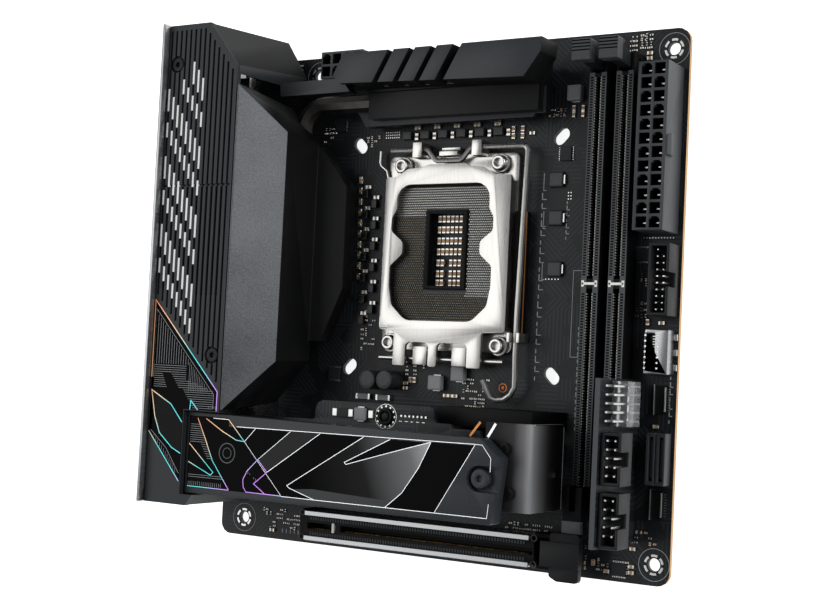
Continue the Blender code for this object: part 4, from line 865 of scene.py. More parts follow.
# %% [markdown]
# ## The rear cover
# The cover over the rear ports is ribbed from end to end. Its CAD lid is flat with a few openings, so the
# openings are filled and fourteen grooves are milled along it, cut right through above the fan. White
# lacquer bars lie in the first eight grooves, in a staggered pattern that forms no letters.

# %% Rear cover with its ribs
cover = dressed("io_cover", 0.0)
GROOVE_X = [-86.35 + 2.08 * i for i in range(14)]
GROOVE_FLOOR = 39.1
EMBLEM = (-83.4, 76.7)  # a bare round spot that the bars keep clear of


def panel_edge(x):
    """Where the slanting trim panel begins."""
    return -3.6 - 1.056 * (x + 87.0)


carved(cover, block("fill", (-83.2, -62.8), (6.0, 32.0), (38.01, 40.0)), "UNION")
grooves, slots = [], []
for x in GROOVE_X:
    north = min(88.3, 86.6 - (x + 69.8) * 1.23)
    grooves.append(block("groove", around(x, 0.42), (panel_edge(x) + 2.2, north), (GROOVE_FLOOR, 41.0)))
    if -84.6 < x < -60.8:
        slots.append(block("slot", around(x, 0.5), (0.0 - (x > -70) * 2.0, 34.4), (37.0, 40.5)))
carved(cover, joined("grooves", *grooves))
carved(cover, joined("slots", *slots))
carved(cover, block("step", (-87.3, -57.9), (34.6, 35.3), (39.3, 40.5)))
stands_for(soften(cover), "io_cover", COVER, SHADE_IN_GROOVES, COVER_END_SHADE)
# The floors of the grooves are painted near-black as painted shade.
paint_faces(cover, 1, lambda p, n: abs(p.z - GROOVE_FLOOR) < 0.05 and n.z > 0.9)
# The end faces towards the back are painted near-black as painted shade.
paint_faces(cover, 2, lambda p, n: n.y > 0.4 and p.y > 60.0)

bars = []
for column, x in enumerate(GROOVE_X[:8]):
    for turn in range(9):
        high = 80.0 - 11.6 * turn - 2.9 * (column % 4)
        low = high - (7.6 if (turn + column // 4) % 2 else 5.0)
        if math.dist((x, (high + low) / 2), EMBLEM) > 5.6 and low > panel_edge(x) + 4.0:
            bars.append(block("bar", around(x, 0.40), (low, high), (38.6, 39.95)))
group("white_bars", bars, "painted_cover", WHITE_INK)

# %% [markdown]
# Below the ribs lies a slanting trim panel: black lacquer, ruled with hairlines, inside a coloured edge.
# Two pointed blades cross it. The hairlines are etched, so each is a strip only 0.02 mm proud.

# %% Trim panel of the rear cover
PANEL_TOP = 40.03


def hair(*points, width=0.12):
    return stroke("hair", points, width, (PANEL_TOP, PANEL_TOP + 0.02))


panel = plate("rear_panel", [(-86.9, -3.8), (-58.4, -33.9), (-58.4, -40.2), (-72.4, -40.2), (-72.4, -64.4),
                             (-86.9, -48.4)], (40.0, PANEL_TOP))
finished(panel, "board", "painted_cover", GLOSS)
lines = []
for x in [-86.2 + 1.06 * i for i in range(26)]:
    if panel_edge(x) - 3.4 > -24.4:
        lines.append(hair((x, -25.4), (x, panel_edge(x) - 3.4)))
for x in [-70.6 + 0.74 * i for i in range(17)]:
    top = panel_edge(x) - 3.6
    lines.append(hair(*([(x, top), (x, -34.2)] if top > -33.2 else [(x, -39.6), (x, -38.6)]), width=0.1))
for i in range(20):
    y = -25.9 - 0.72 * i
    left, right_end = (-85.9, y), (min(-60.2, -72.0 + max(0, i - 6) * 2.4), y)
    gap_right = -80.4 + 0.55 * i
    if 3 < i < 11:
        lines += [hair(left, (-83.6 + 0.35 * i, y)), hair((gap_right, y), right_end)]
    elif i < 4:
        lines.append(hair(left, right_end))
    elif y > -40.0:
        lines.append(hair((gap_right + 1.5, y), right_end))
lines.append(hair((-86.3, -6.9), (-59.9, -34.8), (-60.0, -39.6), width=0.16))
lines.append(hair((-86.2, -7.4), (-86.2, -30.0), width=0.14))
lines.append(hair((-86.0, -47.8), (-79.0, -53.5), (-73.0, -61.6), width=0.16))
for i in range(12):
    x = -84.5 + 0.9 * i
    lines.append(hair((x, -49.0 - 0.95 * i), (x, -50.2 - 1.05 * i), width=0.1))
group("rear_panel_hairlines", lines, "painted_cover", INK)
edges = [stroke("edge", points, 0.3, z) for points, z in (
    ([(-86.9, -30.0), (-86.9, -3.9), (-58.45, -33.8), (-58.45, -40.2)], (40.0, 40.09)),
    ([(-86.9, -48.2), (-72.8, -64.2)], (40.0, 40.09)),
    ([(-72.6, -44.6), (-77.8, -38.8), (-86.5, -34.4), (-84.6, -43.0), (-82.2, -48.6), (-76.6, -53.2),
      (-72.6, -55.0)], (40.04, 40.1)),
    ([(-69.6, -40.2), (-69.3, -37.2), (-66.2, -40.2)], (40.04, 40.1)))]
group("rear_panel_edges", edges, "painted_cover", REAR_TRIM)
blade = [(-72.6, -44.9), (-77.8, -39.1), (-86.2, -34.8), (-84.4, -43.0), (-82.0, -48.4), (-76.6, -52.9),
         (-72.6, -54.7)]
finished(plate("rear_panel_blade", blade, (PANEL_TOP, 40.07)), "board", "painted_cover", BLACK_INK)

# %% [markdown]
# The slope of the power-stage heatsink that faces the lamp on the right, and its flat top, are painted silk
# grey as painted light. Its foot and the faces turned away are painted nearly black as painted shade. A row of
# small ticks and dots is printed along the ridge. The ticks stand where a maker would print words.

# %% Slope of the heatsink
slope = dress("vrm_heatsink", 0.3, DEEP_BLACK_ANODISED_AND_SHADE, SLOPE_PAINTED_LIGHT)
# Faces turned to the right lamp, and the flat top, are painted lighter as painted light; the rest stays
# near-black as painted shade.
paint_faces(slope, 1, lambda p, n: n.x > 0.3 and n.z > 0.3 and p.z > 20 and p.x > -57.6)
paint_faces(slope, 1, lambda p, n: n.z > 0.95 and p.z > 38 and p.x > -56.9)
SLOPE_TURN = (0.0, math.radians(48.5), 0.0)


def on_slope(outline, x, y):
    """A thin printed mark on the slope's face, which falls 13 mm in 11.5 mm."""
    mark = plate("mark", outline, (0.0, 0.05))
    mark.location = Vector((x, y, 40.0 - 13.0 * ((x + 56.5) / 11.5))) * MM
    mark.rotation_euler = SLOPE_TURN
    return settle(mark, "mark")


marks = [on_slope(ring(0, 0, 0.34, 4, 0.785), -54.6, start - 3.5 * i)
         for start, count in ((21.5, 7), (-13.0, 5)) for i in range(count)]
rng = random.Random(11)
for start, count in ((27.5, 12), (43.0, 9), (-8.2, 4), (-31.0, 3)):
    for i in range(count):
        wide, tall = rng.choice(((1.6, 0.34), (0.4, 1.3), (1.6, 0.34), (1.0, 1.0)))
        outline = [(-wide / 2, -tall / 2), (wide / 2, -tall / 2), (wide / 2, tall / 2), (-wide / 2, tall / 2)]
        marks.append(on_slope(outline, -54.2, start + 1.75 * i))
group("ridge_marks", marks, "black_aluminium", BLACK_INK)

# %% [markdown]
# ## The drive cover
# The cover of the drive is one casting: a matt ledge along its upper edge, then black lacquer crossed by
# trim lines, with a smoked mirror window and a plain ring. The trim is inlaid, so it stands 0.04 mm proud.

# %% Drive cover with its trim
dress("m2_cover", 0.25, ANODISED)
M2_Z = 38.0
# Each inlay: its name, how high its two faces lie over the cover, its slot, its finish and its outline.
for name, low, high, slot, finish, outline in (
        ("drive_cover_lacquer", 0.0, 0.02, "black_aluminium", GLOSS,
         [(-70.9, -45.0), (-70.9, -65.9), (24.5, -65.9), (37.4, -45.0)]),
        ("drive_cover_left", 0.0, 0.02, "black_aluminium", GLOSS,
         [(-70.9, -42.2), (-70.9, -45.05), (-54.4, -45.05), (-54.4, -42.2)]),
        ("drive_cover_band", 0.02, 0.03, "black_aluminium", DEEP_BLACK_ANODISED_AND_SHADE,
         [(-29.4, -45.0), (-41.9, -54.9), (-38.0, -58.7), (-18.0, -45.0)]),
        ("drive_cover_window", 0.02, 0.03, "dark_chrome", SMOKED_PANEL_REFLECTION,
         [(-1.7, -45.1), (-29.9, -62.3), (-19.4, -65.8), (7.3, -65.8), (13.0, -61.0), (18.5, -53.0),
          (22.4, -45.0)]),
        ("window_blade", 0.03, 0.05, "black_aluminium", GLOSS,
         [(8.0, -45.1), (-8.4, -53.4), (-7.6, -53.9), (11.6, -48.1), (22.2, -45.1)]),
        ("window_tail", 0.03, 0.04, "black_aluminium", ANODISED,
         [(-27.2, -63.2), (-19.4, -65.8), (7.3, -65.8), (10.0, -63.9), (-20.0, -62.6)])):
    finished(plate(name, outline, (M2_Z + low, M2_Z + high)), "m2_cover", slot, finish)


def lines_of(lines, low, high):
    """Strokes on the cover, each from its width and its points."""
    return [stroke("line", points, width, (M2_Z + low, M2_Z + high)) for width, *points in lines]


silver = lines_of((
    (0.17, (-51.1, -44.85), (37.6, -44.6), (24.7, -65.8)), (0.15, (-29.4, -45.0), (-41.9, -54.9)),
    (0.18, (-18.0, -45.0), (-38.0, -58.7)), (0.15, (-43.4, -45.0), (-47.7, -49.5)),
    (0.12, (-47.7, -49.5), (-31.9, -65.8)),
    (0.18, (-1.7, -45.0), (-29.9, -62.3), (-28.9, -63.0), (-19.4, -65.8)),
    (0.18, (7.3, -65.8), (13.0, -61.0), (18.5, -53.0), (22.4, -45.0)),
    (0.17, (8.0, -45.1), (-8.4, -53.3), (-7.8, -53.9), (11.6, -48.1), (22.4, -45.0)),
    (0.18, (-31.9, -65.9), (24.7, -65.9), (42.4, -66.0)), (0.16, (-61.0, -42.6), (-54.5, -42.7)),
    (0.15, (37.6, -44.6), (39.9, -44.7), (42.9, -48.4), (42.9, -52.4)), (0.15, (42.8, -61.8), (42.4, -66.0))),
    0.0, 0.07)
group("drive_cover_trim", silver, "dark_chrome", TRIM_AND_HIGHLIGHT, body="m2_cover")
tinted = lines_of((
    (0.24, (-67.5, -42.9), (-64.0, -49.5), (-60.5, -56.6), (-53.2, -65.6)),
    (0.24, (-63.9, -42.9), (-57.1, -46.6), (-51.1, -49.2), (-47.7, -49.5), (-54.5, -42.8)),
    (0.24, (-70.7, -51.4), (-60.0, -60.4), (-61.0, -61.4), (-70.7, -57.5)),
    (0.24, (-70.7, -65.6), (-53.2, -65.7)),
    (0.24, (-38.0, -58.7), (-41.9, -54.9), (-46.0, -58.9), (-47.5, -61.8), (-47.2, -64.2), (-46.0, -65.7),
     (-31.9, -65.8)), (0.24, (-38.0, -58.7), (-43.1, -62.8), (-38.6, -65.6))), 0.0, 0.07)
group("drive_cover_tinted_trim", tinted, "dark_chrome", DRIVE_TRIM, body="m2_cover")
emblem = [stroke("circle", ring(-54.6, -53.7, radius, sides), width, (M2_Z, M2_Z + 0.06), closed=True)
          for radius, sides, width in ((3.2, 40, 0.3), (1.7, 32, 0.22))]
group("plain_ring", emblem, "dark_chrome", DIM_INK, body="m2_cover")
ruled = [(0.12, (-70.4, -45.0 - 0.72 * i), (min(-66.4 + 0.42 * i, -62.5 + 0.36 * i), -45.0 - 0.72 * i))
         for i in range(9)]
ruled += [(0.12, (-65.6 + 0.45 * i, -51.5 - 0.75 * i), (-62.9 + 0.40 * i, -51.5 - 0.75 * i)) for i in range(7)]
ruled += [(0.12, (-70.4, -58.8 - 0.72 * i), (-58.4 + 0.5 * i, -58.8 - 0.72 * i)) for i in (4, 5)]
ruled += [(0.1, (-70.2 + 0.8 * i, -65.3), (-70.2 + 0.8 * i, -63.9)) for i in range(18)]
ruled += [(0.1, (-45.6 + 0.8 * i, -58.6 - 0.9 * i), (-45.6 + 0.8 * i, -59.8 - 0.3 * i)) for i in range(5)]
group("drive_cover_rules", lines_of(ruled, 0.02, 0.05), "dark_chrome", INK, body="m2_cover")

# %% [markdown]
# The drive card and the bent plate at its end: passive parts along the card's upper edge, a nut inside a
# ring of bright dots, and two stripes of tape where the thin card meets the plate.

# %% Parts on the drive card
CARD = 22.6
NUT = (-3.6, -38.8)
TAPE_Z = (30.95, 31.1)
scattered("card_inductor", pressed_inductor("card_inductor", 4.2, 2.0), [(-12.6, -38.5, CARD, 0)])
ends = [block("end", (x - 1.0, x + 0.9), (-39.7, -37.1), (CARD, CARD + 1.1), 0.2) for x in (-22.6, -16.4, -8.7)]
group("card_ends", ends, "stainless_steel", TIN)
finished(block("card_power_chip", (-21.6, -17.4), (-39.9, -37.0), (CARD, CARD + 1.0), 0.15), "board",
         "chip_package", EPOXY)
dress("m2_standoff", 0.15, DEEP_BLACK_ANODISED_AND_SHADE)
nut = plate("card_nut", ring(*NUT, 2.7, 32), (CARD, CARD + 0.9), 0.15, holes=[ring(*NUT, 1.75, 24)])
finished(nut, "board", "black_aluminium", JET_BLACK_NYLON_AND_SHADE)
dots = [disc("dot", x, y, (CARD + 0.02, CARD + 0.12), 0.32, 10) for x, y in ring(*NUT, 3.3, 12)]
dots.append(stroke("circle", ring(*NUT, 3.95, 36), 0.14, (CARD + 0.02, CARD + 0.06), closed=True))
dots += row("pad", (2.0, 2.6), (-38.6, -37.9), (CARD, CARD + 0.35), 7, (1.5, 0, 0), 0.05, 1)
dots += row("pad", (1.6, 2.6), (-40.1, -39.8), (CARD, CARD + 0.3), 5, (2.1, 0, 0), 0.05, 1)
group("card_pads", dots, "stainless_steel", TIN)
finished(stroke("card_tape", [(35.2, -38.2), (31.8, -42.6)], 0.7, TAPE_Z), "board", "thermal_pad", ORANGE)
finished(stroke("tape", [(40.4, -38.4), (37.9, -42.6)], 0.8, TAPE_Z), "board", "thermal_pad", TRIM_AND_HIGHLIGHT)
for number, (x, y) in enumerate(((44.0, -45.7), (46.0, -58.8)), 1):
    head = disc(f"plate_screw_{number}", x, y, (30.9, 32.0), 1.9, 28, 0.25)
    crossed(head, x, y, (31.6, 32.4), 1.1, 0.22)
    finished(head, "board", "stainless_steel", DEEP_BLACK_ANODISED_AND_SHADE)
# The plate's top carries a painted reflection, and its bent face is painted lighter at the top as painted
# light.
bend = dress("m2_heat_plate", 0.35, BLACK_CHROME_REFLECTION, CHROME_FACE_LIGHT)
paint_faces(bend, 1, lambda p, n: n.x > 0.5 and p.x > 51.8)
# A thin bright line along the plate's fold is a painted highlight.
fold_highlight = [(52.75, -63.9, 9.4), (52.75, -38.9, 9.4), (52.72, -38.1, 10.4), (52.72, -38.1, 29.6)]
finished(tube("plate_fold_highlight", fold_highlight, 0.1), "board", "dark_chrome", TRIM_AND_HIGHLIGHT)
rivet = [(52.5, -53.4, 14.0), (53.0, -53.4, 14.0)]
finished(tube("plate_rivet", rivet, 0.95, 4), "board", "stainless_steel", TRIM_AND_HIGHLIGHT)

# %% [markdown]
# ## The processor socket
# Thousands of gilt springs stand in the socket, on a staggered 0.8 mm grid round a central well where small
# capacitors sit. Each spring here is a small tapered post of a few faces.

# %% Contact field
FIELD_Z = 3.5
# Springs in the top rows and down the right side get the lit copy as painted light, the rest the shaded copy as
# painted shade.
bright, dark = [], []
for line in range(56):
    for column in range(49):
        x, y = -14.6 + 0.8 * column + (0.4 if line % 2 else 0.0), -7.6 + 0.81 * line
        if not (-3.2 < x < 13.2 and 2.9 < y < 30.1):
            (bright if y > 28 or (x > 12.8 and y > 1.0) else dark).append((x, y, FIELD_Z, 0))
for name, places, finish in (("contacts_in_painted_light", bright, GILT_SPRING_LIT), ("contacts_in_painted_shade", dark, GILT_SPRING_SHADED)):
    scattered(name, disc("spring", 0, 0, (0.0, 0.8), 0.28, 4, 0.0, 0.17), places, "gold_plated_brass", finish)
print("contacts:", len(bright) + len(dark))
socket = dress("cpu_socket", 0.15, JET_BLACK_NYLON_AND_SHADE, NYLON_GREY)
paint_faces(socket, 1, lambda p, n: n.z > 0.9 and 3.3 < p.z < 3.7)
well = [(-1.5, 4.6), (11.5, 4.6), (11.5, 28.4), (-1.5, 28.4)]
rim = plate("well_rim", [(-2.7, 3.4), (12.7, 3.4), (12.7, 29.6), (-2.7, 29.6)], (3.4, 4.7), 0.2, holes=[well])
finished(rim, "board", "black_nylon", JET_BLACK_NYLON_AND_SHADE)
wells = [(0.5 + 1.63 * i, y, 0.0, 90) for i in range(7) for y in (27.0, 23.4, 19.7, 16.1)]
wells += [(0.5 + 1.63 * i, y, 0.0, 90) for i in (0, 1, 3, 4, 5, 6) for y in (12.4, 8.8, 5.7)]
scattered("well_capacitors", two_ended("well_capacitor", 2.3, 1.15, 1.3, 0.6, CERAMIC), wells)

# %% [markdown]
# The load plate is nickel-plated steel. A small triangle is engraved at its lower left, where the
# processor's first contact goes, and a dark rail with a thin orange line stands beside the lever.

# %% Marks on the load plate
triangle = [(-17.6, -6.4), (-17.6, -9.4), (-14.6, -9.4)]
finished(stroke("first_contact_mark", triangle, 0.22, (6.9, 6.93), closed=True), "load_plate", "nickel_steel",
         STEEL)
finger = [(-23.2, 50.4, 2.4), (-23.2, 46.6, 2.6), (-22.6, 45.3, 2.6), (-20.3, 43.6, 2.6), (-19.6, 41.2, 2.6)]
finished(tube("spring_finger", finger, 0.5), "board", "nickel_steel", NICKEL)
finished(block("lever_rail", (29.5, 33.6), (-12.0, 29.0), (0.3, 3.2), 0.2), "board", "black_nylon", JET_BLACK_NYLON_AND_SHADE)
finished(block("rail_edge", (33.55, 33.7), (-11.8, 28.8), (2.75, 3.15)), "board", "thermal_pad", ORANGE)

# %% [markdown]
# The long top heatsink catches the light on its upper faces only. Its sides that face the front and the right,
# and the finned body below, are painted a deeper black as painted shade.

# %% Long top heatsink
top_sink = dress("top_heatsink", 0.25, ANODISED, DEEP_BLACK_ANODISED_AND_SHADE)
paint_faces(top_sink, 1, lambda p, n: n.y < -0.3 or n.x > 0.5 or 8.5 < p.z < 17.0)

# %% [markdown]
# ## Memory slots
# Each memory slot is a long black channel between two grey ladder rails. The rails have a small window for
# every contact, 0.85 mm apart, each a near-black strip of painted shade, and the contacts' gilt tips show in
# the channel. A white bar marks the key.

# %% Memory slots
SLOT_Z = 8.5
CONTACT_STEP = 0.85
RUNS = ((-56.6, 70), (8.0, 73))  # where each run of contacts starts, and how many it has
KEY_Z = (SLOT_Z + 0.1, SLOT_Z + 0.5)


def copies(piece, count, step):
    """Copies a piece along a line, in board millimetres."""
    return applied(piece, "ARRAY", count=count, use_relative_offset=False, use_constant_offset=True,
                   constant_offset_displace=Vector(step) * MM)


for number in (1, 2):
    node, latch = f"dimm_slot_{number}", f"dimm_latch_{number}"
    low, high = span(node)
    middle = (low.x + high.x) / 2
    dress(node, 0.12, JET_BLACK_NYLON_AND_SHADE)
    rails, windows, tips = [], [], []
    for side in (-1, 1):
        x = middle + side * 1.95
        rails.append(block("rail", around(x, 0.88), (-57.4, 71.0), around(SLOT_Z, 0.2), 0.08, 1))
        for start, count in RUNS:
            step = (0, CONTACT_STEP, 0)
            window = block("window", around(x, 0.5), (start, start + 0.5), (SLOT_Z + 0.15, SLOT_Z + 0.23))
            windows.append(copies(window, count, step))
            tip = block("tip", around(middle + side * 0.98, 0.14), (start + 0.1, start + 0.45), (6.6, 8.35))
            tips.append(copies(tip, count, step))
    group(node + "_rails", rails, "grey_nylon", RAIL)
    group(node + "_windows", windows, "black_nylon", SHADE_IN_GROOVES)
    # The gilt tips take the lit copy of the spring finish, as painted light.
    group(node + "_contacts", tips, "gold_plated_brass", GILT_SPRING_LIT)
    key = [block("bar", around(middle, 2.5), (5.1, 5.9), KEY_Z, 0.08, 1)]
    key += [block("bar", around(middle + side * 2.2, 0.4), (4.5, 6.5), KEY_Z, 0.08, 1) for side in (-1, 1)]
    group(node + "_key", key, "grey_nylon", KEY_WHITE)
    dress(latch, 0.2, NYLON)
    low, high = span(latch)
    cap = block(latch + "_cap", (middle - 3.2, middle + 3.0), (low.y + 0.1, high.y - 0.1),
                (high.z - 4.0, high.z + 0.1), 0.3)
    finished(cap, latch, "grey_nylon", NYLON_GREY)
    # Four thin strips across the latch cap are painted near-black as painted shade.
    ribs = row("rib", (middle - 3.1, middle + 2.9), (high.y - 0.8, high.y - 0.4),
               (high.z + 0.05, high.z + 0.12), 4, (0, -1.0, 0))
    group(latch + "_ribs", ribs, "grey_nylon", SHADE_IN_GROOVES, body=latch)

# %% [markdown]
# ## Power connectors and headers
# The main power connector has two rows of twelve cells. Each cell holds a tinned pin, and every other one
# has its corners filled, which keys the plug. The floors of the cells and thin sheets along their walls are
# painted near-black as painted shade. The processor's power connector is the same, with two rows of four.

# %% Power connectors
CELL_STEP, CELL_HALF, CELL_TOP = 4.2, 1.68, 13.2
SHADE_LINING_Z = (4.2, CELL_TOP)
CONNECTORS = (("atx_power_connector", 2, 12), ("cpu_power_connector", 4, 2))


def cells_of(node, columns, rows):
    low, high = span(node)
    x, y = (78.8, 46.85) if node.startswith("atx") else ((low.x + high.x) / 2, (low.y + high.y) / 2)
    return [(x + (i - (columns - 1) / 2) * CELL_STEP, y + (j - (rows - 1) / 2) * CELL_STEP, i, j)
            for i in range(columns) for j in range(rows)]


for node, columns, rows in CONNECTORS:
    shell = dress(node, 0.18, NYLON_GREY, JET_BLACK_NYLON_AND_SHADE)
    # The cell floors are painted near-black as painted shade.
    paint_faces(shell, 1, lambda p, n: p.z < CELL_TOP and n.z > 0.9)
    pins, corners, shade_linings = [], [], []
    for x, y, i, j in cells_of(node, columns, rows):
        pins.append(block("pin", around(x, 0.45), around(y, 0.2), (4.0, 10.5)))
        for side in (-1, 1):
            wall = side * 1.66
            # Thin near-black sheets along the cell walls are painted shade.
            shade_linings += [block("lining", around(x, CELL_HALF), around(y + wall, 0.03), SHADE_LINING_Z),
                        block("lining", around(x + wall, 0.03), around(y, CELL_HALF), SHADE_LINING_Z)]
            if (i + j) % 2:
                wedge = [(x + side * 1.7, y + 1.7), (x + side * 0.8, y + 1.7), (x + side * 1.7, y + 0.8)]
                corners.append(plate("wedge", wedge, (11.5, 13.45)))
    group(node + "_pins", pins, "stainless_steel", TIN)
    group(node + "_corners", corners, "black_nylon", NYLON_GREY)
    group(node + "_linings", shade_linings, "black_nylon", JET_BLACK_NYLON_AND_SHADE)


# %% [markdown]
# Every header pin is a square post with a chamfered end. One post is modelled and repeated on a 2.54 mm or
# 2 mm grid.

# %% Header pins
def posts(name, places, half, z):
    scattered(name, block("post", (-half, half), (-half, half), z, 0.12, 1), places, "gold_plated_brass", TIN)


posts("usb3_header_pins", [place for place in grid(80.1, 16.1, 2, 10, 2.0, -2.0) if place != (82.1, 16.1)], 0.3,
      (1.6, 7.4))
posts("panel_header_pins", grid(74.9, -25.4, 2, 5, 2.5, -2.54), 0.35, (12.2, 29.4))
posts("box_header_pins", [place for y in (-41.2, -58.4) for place in grid(75.1, y, 2, 5, 2.5, -2.54)], 0.35,
      (21.0, 27.9))
dress("panel_header", 0.15, CLEAR)
for number in (1, 2):
    dress(f"box_header_{number}", 0.25, NYLON)
ramp = block("power_latch_ramp", (83.5, 84.95), (43.8, 49.9), (12.86, 12.98))
finished(ramp, "board", "black_nylon", DIM_INK)
for number in (1, 2):
    dress(f"sata_connector_{number}", 0.15, NYLON_GREY)
blades = row("blade", (79.5, 80.0), (-52.6, -41.0), (1.8, 4.8), 2, (3.2, 0, 0))
group("sata_blades", blades, "black_nylon", NYLON_GREY)
tips = [tip for x in (79.95, 83.15)
        for tip in row("tip", (x, x + 0.12), (-51.9, -51.3), (2.0, 4.6), 8, (0, 1.27, 0))]
group("sata_contacts", tips, "gold_plated_brass", GOLD)
dress("usb_c_header", 0.35, SHIELD)
dots = [dot for x in (76.5, 80.4)
        for dot in row("dot", around(x, 0.3), around(-19.6, 0.35), (5.4, 5.75), 7, (0, 1.65, 0), 0.1, 1)]
group("type_c_welds", dots, "stainless_steel", TRIM_AND_HIGHLIGHT)
combs = row("comb", (78.7, 79.5), (-18.9, -18.6), (3.4, 5.0), 12, (0, 0.8, 0))
group("type_c_contacts", combs, "stainless_steel", TIN)
tongue = block("type_c_tongue", (77.6, 78.6), (-19.6, -9.8), (1.6, 4.6), 0.1)
finished(tongue, "board", "black_nylon", JET_BLACK_NYLON_AND_SHADE)
tabs = row("tab", (83.8, 85.0), (-20.2, -18.2), (0.3, 1.0), 3, (0, 4.6, 0), 0.2)
tabs += row("leg", (76.0, 76.6), (-20.0, -19.7), (0.05, 0.9), 14, (0, 0.8, 0))
group("type_c_tabs", tabs, "stainless_steel", TIN)

# %% [markdown]
# The header card stands on its edge, so its cut rim shows glass fibre at the two ends and a grey line of
# mask along the top. Small tinned joints cross its top where the pins pass through.

# %% Header card
card = dress("header_card", 0.0, MASK, FIBRE, RAIL)
paint_faces(card, 1, lambda p, n: abs(n.y) > 0.9)
paint_faces(card, 2, lambda p, n: n.z > 0.9)
face = span("header_card")[0].x
joints = [joint for z in (22.2, 24.8) for joint in
          row("joint", (face - 0.35, face + 0.02), (-26.0, -24.9), (z, z + 1.1), 18, (0, -2.54, 0), 0.2, 1)]
group("header_card_joints", joints, "stainless_steel", TIN)

# %% [markdown]
# ## The card slot
# A steel channel wraps the card slot, and its two long rims are polished. Inside, each wall carries a tooth
# for every contact, and a white key crosses the groove near the left end.

# %% Card slot
SLOT_Y = -77.6
dress("pcie_slot", 0.12, JET_BLACK_NYLON_AND_SHADE)
dress("pcie_slot_armour", 0.2, STEEL)
rims = [block("rim", (-40.9, 43.4), around(y, 0.75), (11.15, 11.5), 0.1) for y in (-73.45, -81.75)]
group("card_slot_rims", rims, "stainless_steel", SHIELD)
teeth = [copies(block("tooth", (-38.6, -38.1), around(y, 0.5), (10.9, 11.25)), 81, (1.0, 0, 0))
         for y in (-75.05, -80.15)]
group("card_slot_teeth", teeth, "grey_nylon", NYLON_GREY)
tips = [copies(block("tip", (-39.0, -38.7), around(SLOT_Y + side, 0.12), (7.6, 9.4)), 82, (1.0, 0, 0))
        for side in (-1, 1)]
group("card_slot_contacts", tips, "gold_plated_brass", GOLD)
finished(block("card_slot_key", (-29.9, -28.9), (-79.2, -76.0), (8.6, 11.2), 0.15), "board", "grey_nylon",
         KEY_WHITE)
pegs = [stroke("peg", ring(x, y, 0.95, 20), 0.3, (10.75, 11.0), closed=True)
        for x in (-42.2, 44.9) for y in (-73.4, -81.5)]
group("card_slot_pegs", pegs, "grey_nylon", NYLON_GREY)

# %% [markdown]
# ## Rear ports
# Behind the rear plate each port has its tongue and contacts, and the antenna jacks have a fine thread.

# %% Rear ports
FRONT = span("usb_a_stack_1")[0].x
STEP_A = (0, 2.5, 0)
tongues, contacts = [], []


def tongue_of(depth, y, z, edge):
    tongues.append(block("tongue", (FRONT + depth[0], FRONT + depth[1]), y, z, edge))


def contacts_of(depth, y, z, count, step):
    contacts.extend(row("contact", (FRONT + depth[0], FRONT + depth[1]), y, z, count, step))


for y in (44.9, 25.9):
    for z in (5.0, 12.4):
        tongue_of((1.2, 15.0), (y + 0.6, y + 12.2), (z, z + 1.7), 0.15)
        contacts_of((1.6, 9.0), (y + 2.2, y + 3.2), (z - 0.12, z + 0.1), 4, STEP_A)
tongue_of((1.2, 17.0), (6.3, 18.3), (5.0, 6.7), 0.15)
contacts_of((1.6, 9.0), (7.9, 8.9), (4.88, 5.1), 4, STEP_A)
contacts_of((5.0, 14.0), (8.1, 8.5), (19.2, 19.6), 8, (0, 1.15, 0))
tongue_of((1.2, 9.0), (65.6, 75.8), (3.3, 4.4), 0.1)
contacts_of((1.5, 7.0), (66.2, 66.7), (4.35, 4.5), 10, (0, 1.0, 0))
for z in (4.2, 11.6):
    tongue_of((1.0, 9.0), (-7.6, -1.2), around(z, 0.35), 0.1)
group("port_tongues", tongues, "black_nylon", JET_BLACK_NYLON_AND_SHADE)
group("port_contacts", contacts, "gold_plated_brass", GOLD)
threads = []
for y in (-30.4, -40.6):
    threads += [torus("thread", (-96.2 + 0.75 * i, y, 8.0), 3.08, 0.28, 6) for i in range(9)]
    threads.append(block("centre", (-97.0, -96.4), around(y, 0.5), (7.5, 8.5), 0.1))
group("antenna_threads", threads, "gold_plated_brass", GOLD)
collars = [torus("collar", (-89.0, y, 6.6), 2.1, 0.35, 8) for y in (-64.5, -57.9, -51.3)]
group("audio_collars", collars, "stainless_steel", STEEL)

# %% [markdown]
# ## The underside
# The pins of every slot and connector pass through the board and end in small cones of solder.

# %% Solder joints below
JOINT_Z = -2.35
below = [place[:2] for connector in CONNECTORS for place in cells_of(*connector)]
for x in (58.8, 67.7):
    below += [(x + (1.2 if i % 2 else -1.2), start + 1.7 * i) for start in (-56.0, 8.6) for i in range(37)]
below += [(-38.0 + 1.0 * i, SLOT_Y + (1.6 if i % 2 else -1.6)) for i in range(82)]
below += grid(80.1, 16.1, 2, 10, 2.0, -2.0)
below += [place for y in (46.5, 27.5, 8.5) for place in grid(-75.5, y, 3, 5, 2.2, 2.5)]
below += grid(-79.0, -64.5, 2, 5, 4.0, 3.3)
cone = disc("joint", 0, 0, (0.0, 0.75), 0.26, 8, 0.0, 0.62)
scattered("solder_joints", cone, [(x, y, JOINT_Z, 0) for x, y in below], "stainless_steel", TIN)

# %% [markdown]
# ## Parts that keep their CAD shape
# Ports, screws, brackets and slots already have their real shape. Each gets its edges rounded and its
# finish. The rod and the lever are round already, so they get their finish alone.

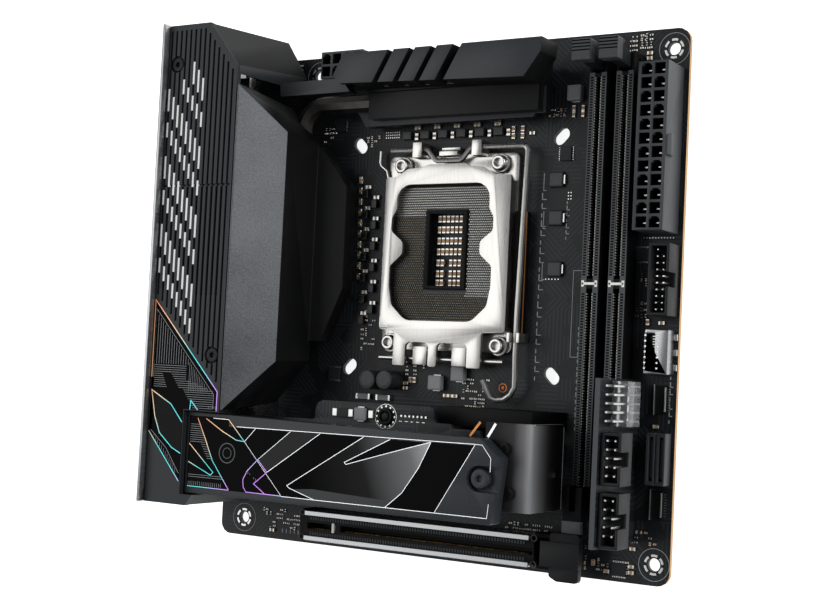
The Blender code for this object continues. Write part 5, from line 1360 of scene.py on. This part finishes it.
# %% Dress what is left
# Each row: a finish, how far the edges are rounded, and the nodes.
for finish, edge, nodes in (
        (SHIELD, 0.2, "io_shield"),
        (STEEL, 0.25, "hdmi_port usb_a_stack_1 usb_a_stack_2 lan_usb_stack usb_c_stack"),
        (NYLON, 0.3, "audio_jack_block"), (STEEL, 0.3, "wireless_module"), (NYLON, 0.3, "button_housing"),
        (GOLD, 0.3, "antenna_jack_1 antenna_jack_2"), (STEEL, 0.4, "coin_cell"),
        (NYLON_GREY, 0.25, "flash_button clear_button"), (JET_BLACK_NYLON_AND_SHADE, 0.2, "vrm_fan_frame"),
        (NYLON_GREY, 0.12, "vrm_fan_impeller"), (PAD_GREY, 0.3, "vrm_thermal_pad top_thermal_pad"),
        (NICKEL, 0.3, "socket_backplate"), (NICKEL, 0.0, "hinge_rod"), (NICKEL, 0.22, "socket_frame"),
        (NICKEL, 0.3, "load_plate"), (NICKEL, 0.0, "load_lever"),
        (NICKEL, 0.15, "socket_screw_1 socket_screw_2 socket_screw_3 socket_screw_4"),
        (DEEP_BLACK_ANODISED_AND_SHADE, 0.1, "io_cover_screw_1 io_cover_screw_2"), (ANODISED, 0.15, "m2_cover_screw"),
        (HEAT_PIPE, 0.0, "heat_pipe"), (EPOXY, 0.15, "chipset"), (DEEP_BLACK_ANODISED_AND_SHADE, 0.2, "chipset_heatsink"),
        (MASK, 0.05, "m2_riser_card"), (JET_BLACK_NYLON_AND_SHADE, 0.15, "m2_connector"), (NYLON, 0.25, "usb3_header"),
        (NYLON, 0.3, "pcie_latch")):
    for node in nodes.split():
        dress(node, edge, finish)

# %% [markdown]
# ## Floor
# A plain pale floor at the lowest point of the object, wide enough for every view.

# %% Floor
only()
bpy.ops.mesh.primitive_plane_add(size=12, location=(HOME.x, HOME.y, cad_box[0].z - 0.0002))
floor = bpy.context.object
floor.name = "floor"
FLOOR = grained("white_paper_sweep", "#fbfbfb", "#ffffff", 0.0, 0.9, 400.0)
shader_inputs(FLOOR)["Emission Color"].default_value = (1.0, 1.0, 1.0, 1.0)
shader_inputs(FLOOR)["Emission Strength"].default_value = 0.85
floor.data.materials.append(FLOOR)
